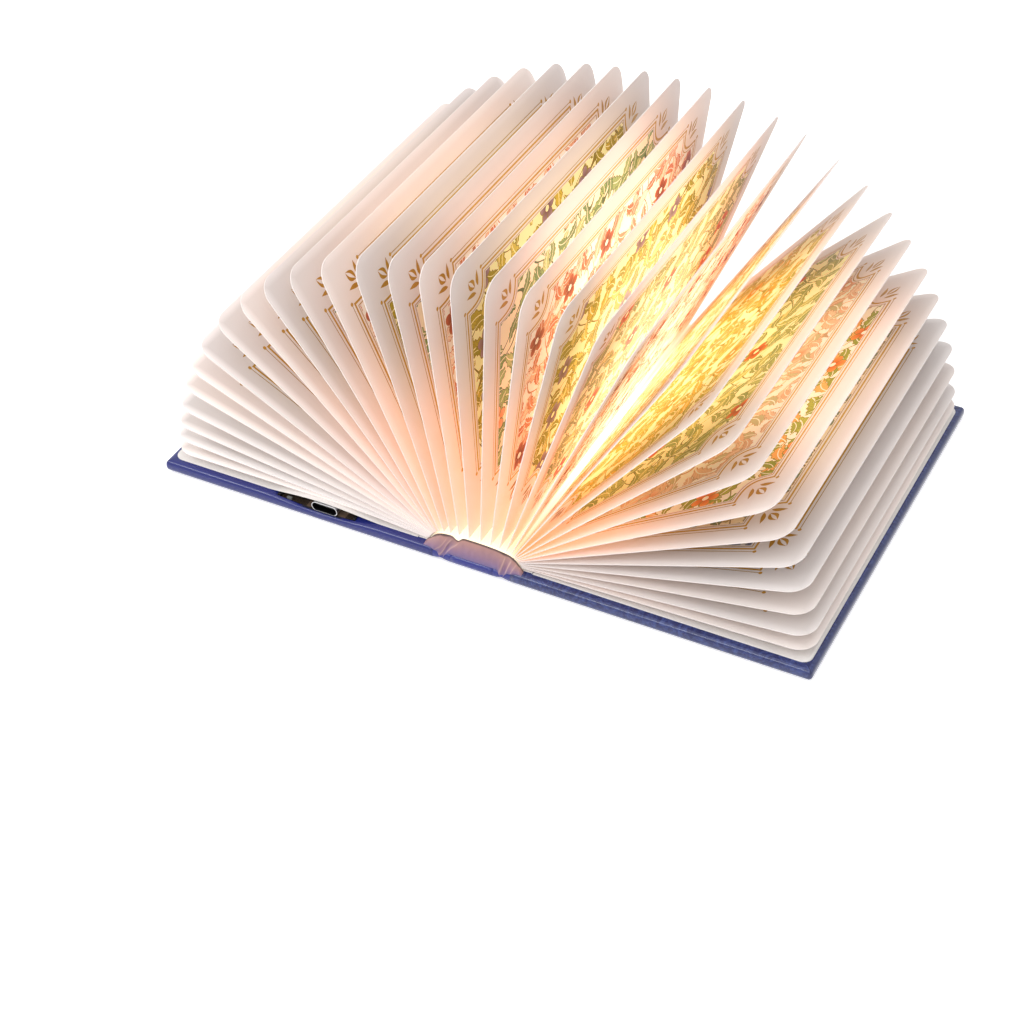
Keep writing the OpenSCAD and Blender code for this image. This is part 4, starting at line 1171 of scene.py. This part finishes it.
# Corner ornaments: bronze ink, screen printed, so only slightly metallic and half matt.
gold_finish = grained("gold_ink_screened", "#b07d28", "#c8963c", 1.25, Metallic=0.25, Roughness=0.42)
ornament_off = 0.135
petal_steps = 8
bud_root = (11.2, 13.8)
petals = ((bud_root, 225, 5.2, 1.15, 1.1), (bud_root, 225, 5.2, 1.15, -1.1),
          ((11.5, 15.7), 183, 5.4, 1.5, 0.3), ((13.3, 14.4), 262, 5.7, 1.5, -0.3))


def petal_outline(root, heading_deg, length, width, bow):
    """A pointed petal: a line from its root at a heading, bowed sideways as a sine, with a half
    width that follows another sine."""
    t = np.linspace(0, 1, petal_steps)[:, None]
    a = math.radians(heading_deg)
    ahead, beside = np.array([math.cos(a), math.sin(a)]), np.array([-math.sin(a), math.cos(a)])
    line = np.asarray(root) + t * length * ahead + bow * np.sin(np.pi * t) * beside
    spread = width / 2 * np.sin(np.pi * t ** 0.8) * beside
    return np.stack([line + spread, line - spread], 1)


def corner_ornament():
    """A small bud in the frame's notch, made of two bowed petals round a pale eye, and a slender
    leaf each way, along the end and along the fore-edge, in mm from the fore-edge and the end."""
    points = np.concatenate([petal_outline(*petal).reshape(-1, 2) for petal in petals])
    faces = np.concatenate([grid_faces(petal_steps, 2) + 2 * petal_steps * k for k in range(len(petals))])
    return points, faces


def glow_on(u, y, lean):
    """Light on a leaf as a tint and a share of white, at u from its base and y along the spine:
    strong over the printed middle, easing off as a half cosine towards the fore-edge and towards
    head and tail, and weaker in the end margins, where it only fades along the leaf. Its level
    comes from the lean, read off glow_by_lean on the back side, and it turns from orange to white
    inwards."""
    towards_back = lean < math.pi / 2
    rise = np.clip((math.degrees(lean) - 23) / 8, 0.1, 1) if towards_back else math.sin(lean) ** 1.8
    peak = np.interp(math.degrees(lean), *glow_by_lean.T) if towards_back else front_level * rise
    along = ease_off(u - bright_u, back_fade if towards_back else front_fade)
    window = ease_off(np.abs(y) - bright_half_y, end_fade)
    margin = margin_level * rise * ease_off(u - margin_u, margin_fade)
    level = peak * along * window + margin * (1 - window)
    warmth = (window * np.minimum(1, 3 * along)) ** 0.3
    tint = np.stack([np.full_like(warmth, 1.0), 0.42 + 0.48 * warmth, 0.06 + 0.78 * warmth], -1)
    wash = np.clip((level - 0.6) / 1.6, 0, 0.3)
    return np.concatenate([np.clip(tint * level[..., None] / glow_peak, 0, 1), wash[..., None]], -1)


def leaf_sheet(name, body, print_name, place, lean):
    """One leaf: two grids of points half the thickness off its middle, a wall between their
    outlines, and four gold corner ornaments just proud of each face. The function place takes
    points in the leaf's own coordinates (along, across, off its middle) to the lamp."""
    u, y = rounded_sheet(0.0, leaf_width, leaf_half_y, leaf_corner, 34, 40)
    rows, columns = u.shape
    u, y = u.reshape(-1), y.reshape(-1)
    count = len(u)
    faces = grid_faces(rows, columns)
    numbers = np.arange(count).reshape(rows, columns)
    rim = np.concatenate([numbers[0], numbers[1:, -1], numbers[-1, -2::-1], numbers[-2:0:-1, 0]])
    following = np.roll(rim, -1)
    wall = np.stack([rim, rim + count, following + count, following], -1)
    ornament, ornament_faces = corner_ornament()
    stamps, stamp_faces = [], []
    start = 2 * count
    for face_side in (1, -1):
        for end in (-1, 1):
            for far in (False, True):
                near_base = ornament[:, 0] + frame_inner - frame_margin
                near_edge = leaf_width - ornament[:, 0]
                stamp_y = end * (leaf_half_y - ornament[:, 1])
                stamp_off = np.full(len(ornament), face_side * ornament_off)
                stamps.append(np.stack([near_base if far else near_edge, stamp_y, stamp_off], -1))
                flip = (face_side > 0) == ((end < 0) == far)
                stamp_faces.append((ornament_faces if flip else ornament_faces[:, ::-1]) + start)
                start += len(ornament)
    off = np.full(count, leaf_thickness / 2)
    local = np.concatenate([np.stack([u, y, off], -1), np.stack([u, y, -off], -1)] + stamps)
    polygons = np.concatenate([faces[:, ::-1], faces + count, wall[:, ::-1]] + stamp_faces)
    finishes = [print_finishes[print_name], edge_finish, gold_finish]
    leaf = make_piece(name, place(local), polygons, finishes, body, False)
    mesh = leaf.data
    stamped = len(polygons) - 2 * len(faces) - len(wall)
    kinds = np.repeat([0, 1, 2], [2 * len(faces), len(wall), stamped])
    mesh.polygons.foreach_set("material_index", kinds.astype(np.int32))
    page = mesh.uv_layers.new(name="page")
    index = np.zeros(len(mesh.loops), np.int32)
    mesh.loops.foreach_get("vertex_index", index)
    page_points = np.stack([local[:, 0], local[:, 1] + leaf_half_y], -1) * uv_per_mm
    page.data.foreach_set("uv", page_points[index].ravel())
    light = mesh.attributes.new("glow", "FLOAT_COLOR", "POINT")
    light.data.foreach_set("color", glow_on(local[:, 0], local[:, 1], lean).astype(np.float32).ravel())
    level = front_edge_level if lean > math.pi / 2 else back_edge_level
    level = level * abs(math.cos(lean)) ** 1.5 * (0.5 + 0.5 * local[:, 0] / leaf_width)
    edge_light = mesh.attributes.new("edge_light", "FLOAT", "POINT")
    edge_light.data.foreach_set("value", level.astype(np.float32))
    return leaf


for leaf_number in range(1, 32):
    node = f"leaf_{leaf_number:02d}"
    corners = np.array([v.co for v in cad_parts[node].data.vertices]) / MM
    flat = corners[:, [0, 2]]
    middle = flat.mean(0)
    ahead = np.linalg.svd(flat - middle)[2][0]
    ahead = ahead if ahead @ middle > 0 or (abs(ahead[0]) < 0.3 and ahead[1] > 0) else -ahead
    base = middle + ahead * ((flat - middle) @ ahead).min()
    normal = np.array([-ahead[1], ahead[0]])

    def flat_place(local):
        """A straight leaf: its base, plus its own axes times the coordinates."""
        line = base + local[:, :1] * ahead + local[:, 2:] * normal
        return np.column_stack([line[:, 0], local[:, 1], line[:, 1]])

    rigid_leaf = leaf_sheet(f"{node}_sheet", f"{node}_body", leaf_prints[leaf_number - 1], flat_place,
                            math.atan2(ahead[1], ahead[0]))
    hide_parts(node)


# The lowest leaf is a loose end leaf that lies on the raised endpaper of the front cover: it bends
# up from the gutter over the wave, and lies level beyond it.
lowest_base_x = -15.9
lowest_base_z = 4.95
lowest_rise = 2.07
lowest_bend = 33.0
lowest_reach = 0.992


def bent_place(local):
    """A bent leaf: its height follows a quarter sine along the leaf, and then stays level. It
    reaches a little less far than it is long."""
    climb = lowest_rise * np.sin(np.clip(local[:, 0] / lowest_bend, 0, 1) * np.pi / 2)
    x, z = lowest_base_x - local[:, 0] * lowest_reach, lowest_base_z + climb - local[:, 2]
    return np.column_stack([x, local[:, 1], z])


leaf_sheet("lowest_leaf_sheet", "front_cover", "peach", bent_place, math.pi)
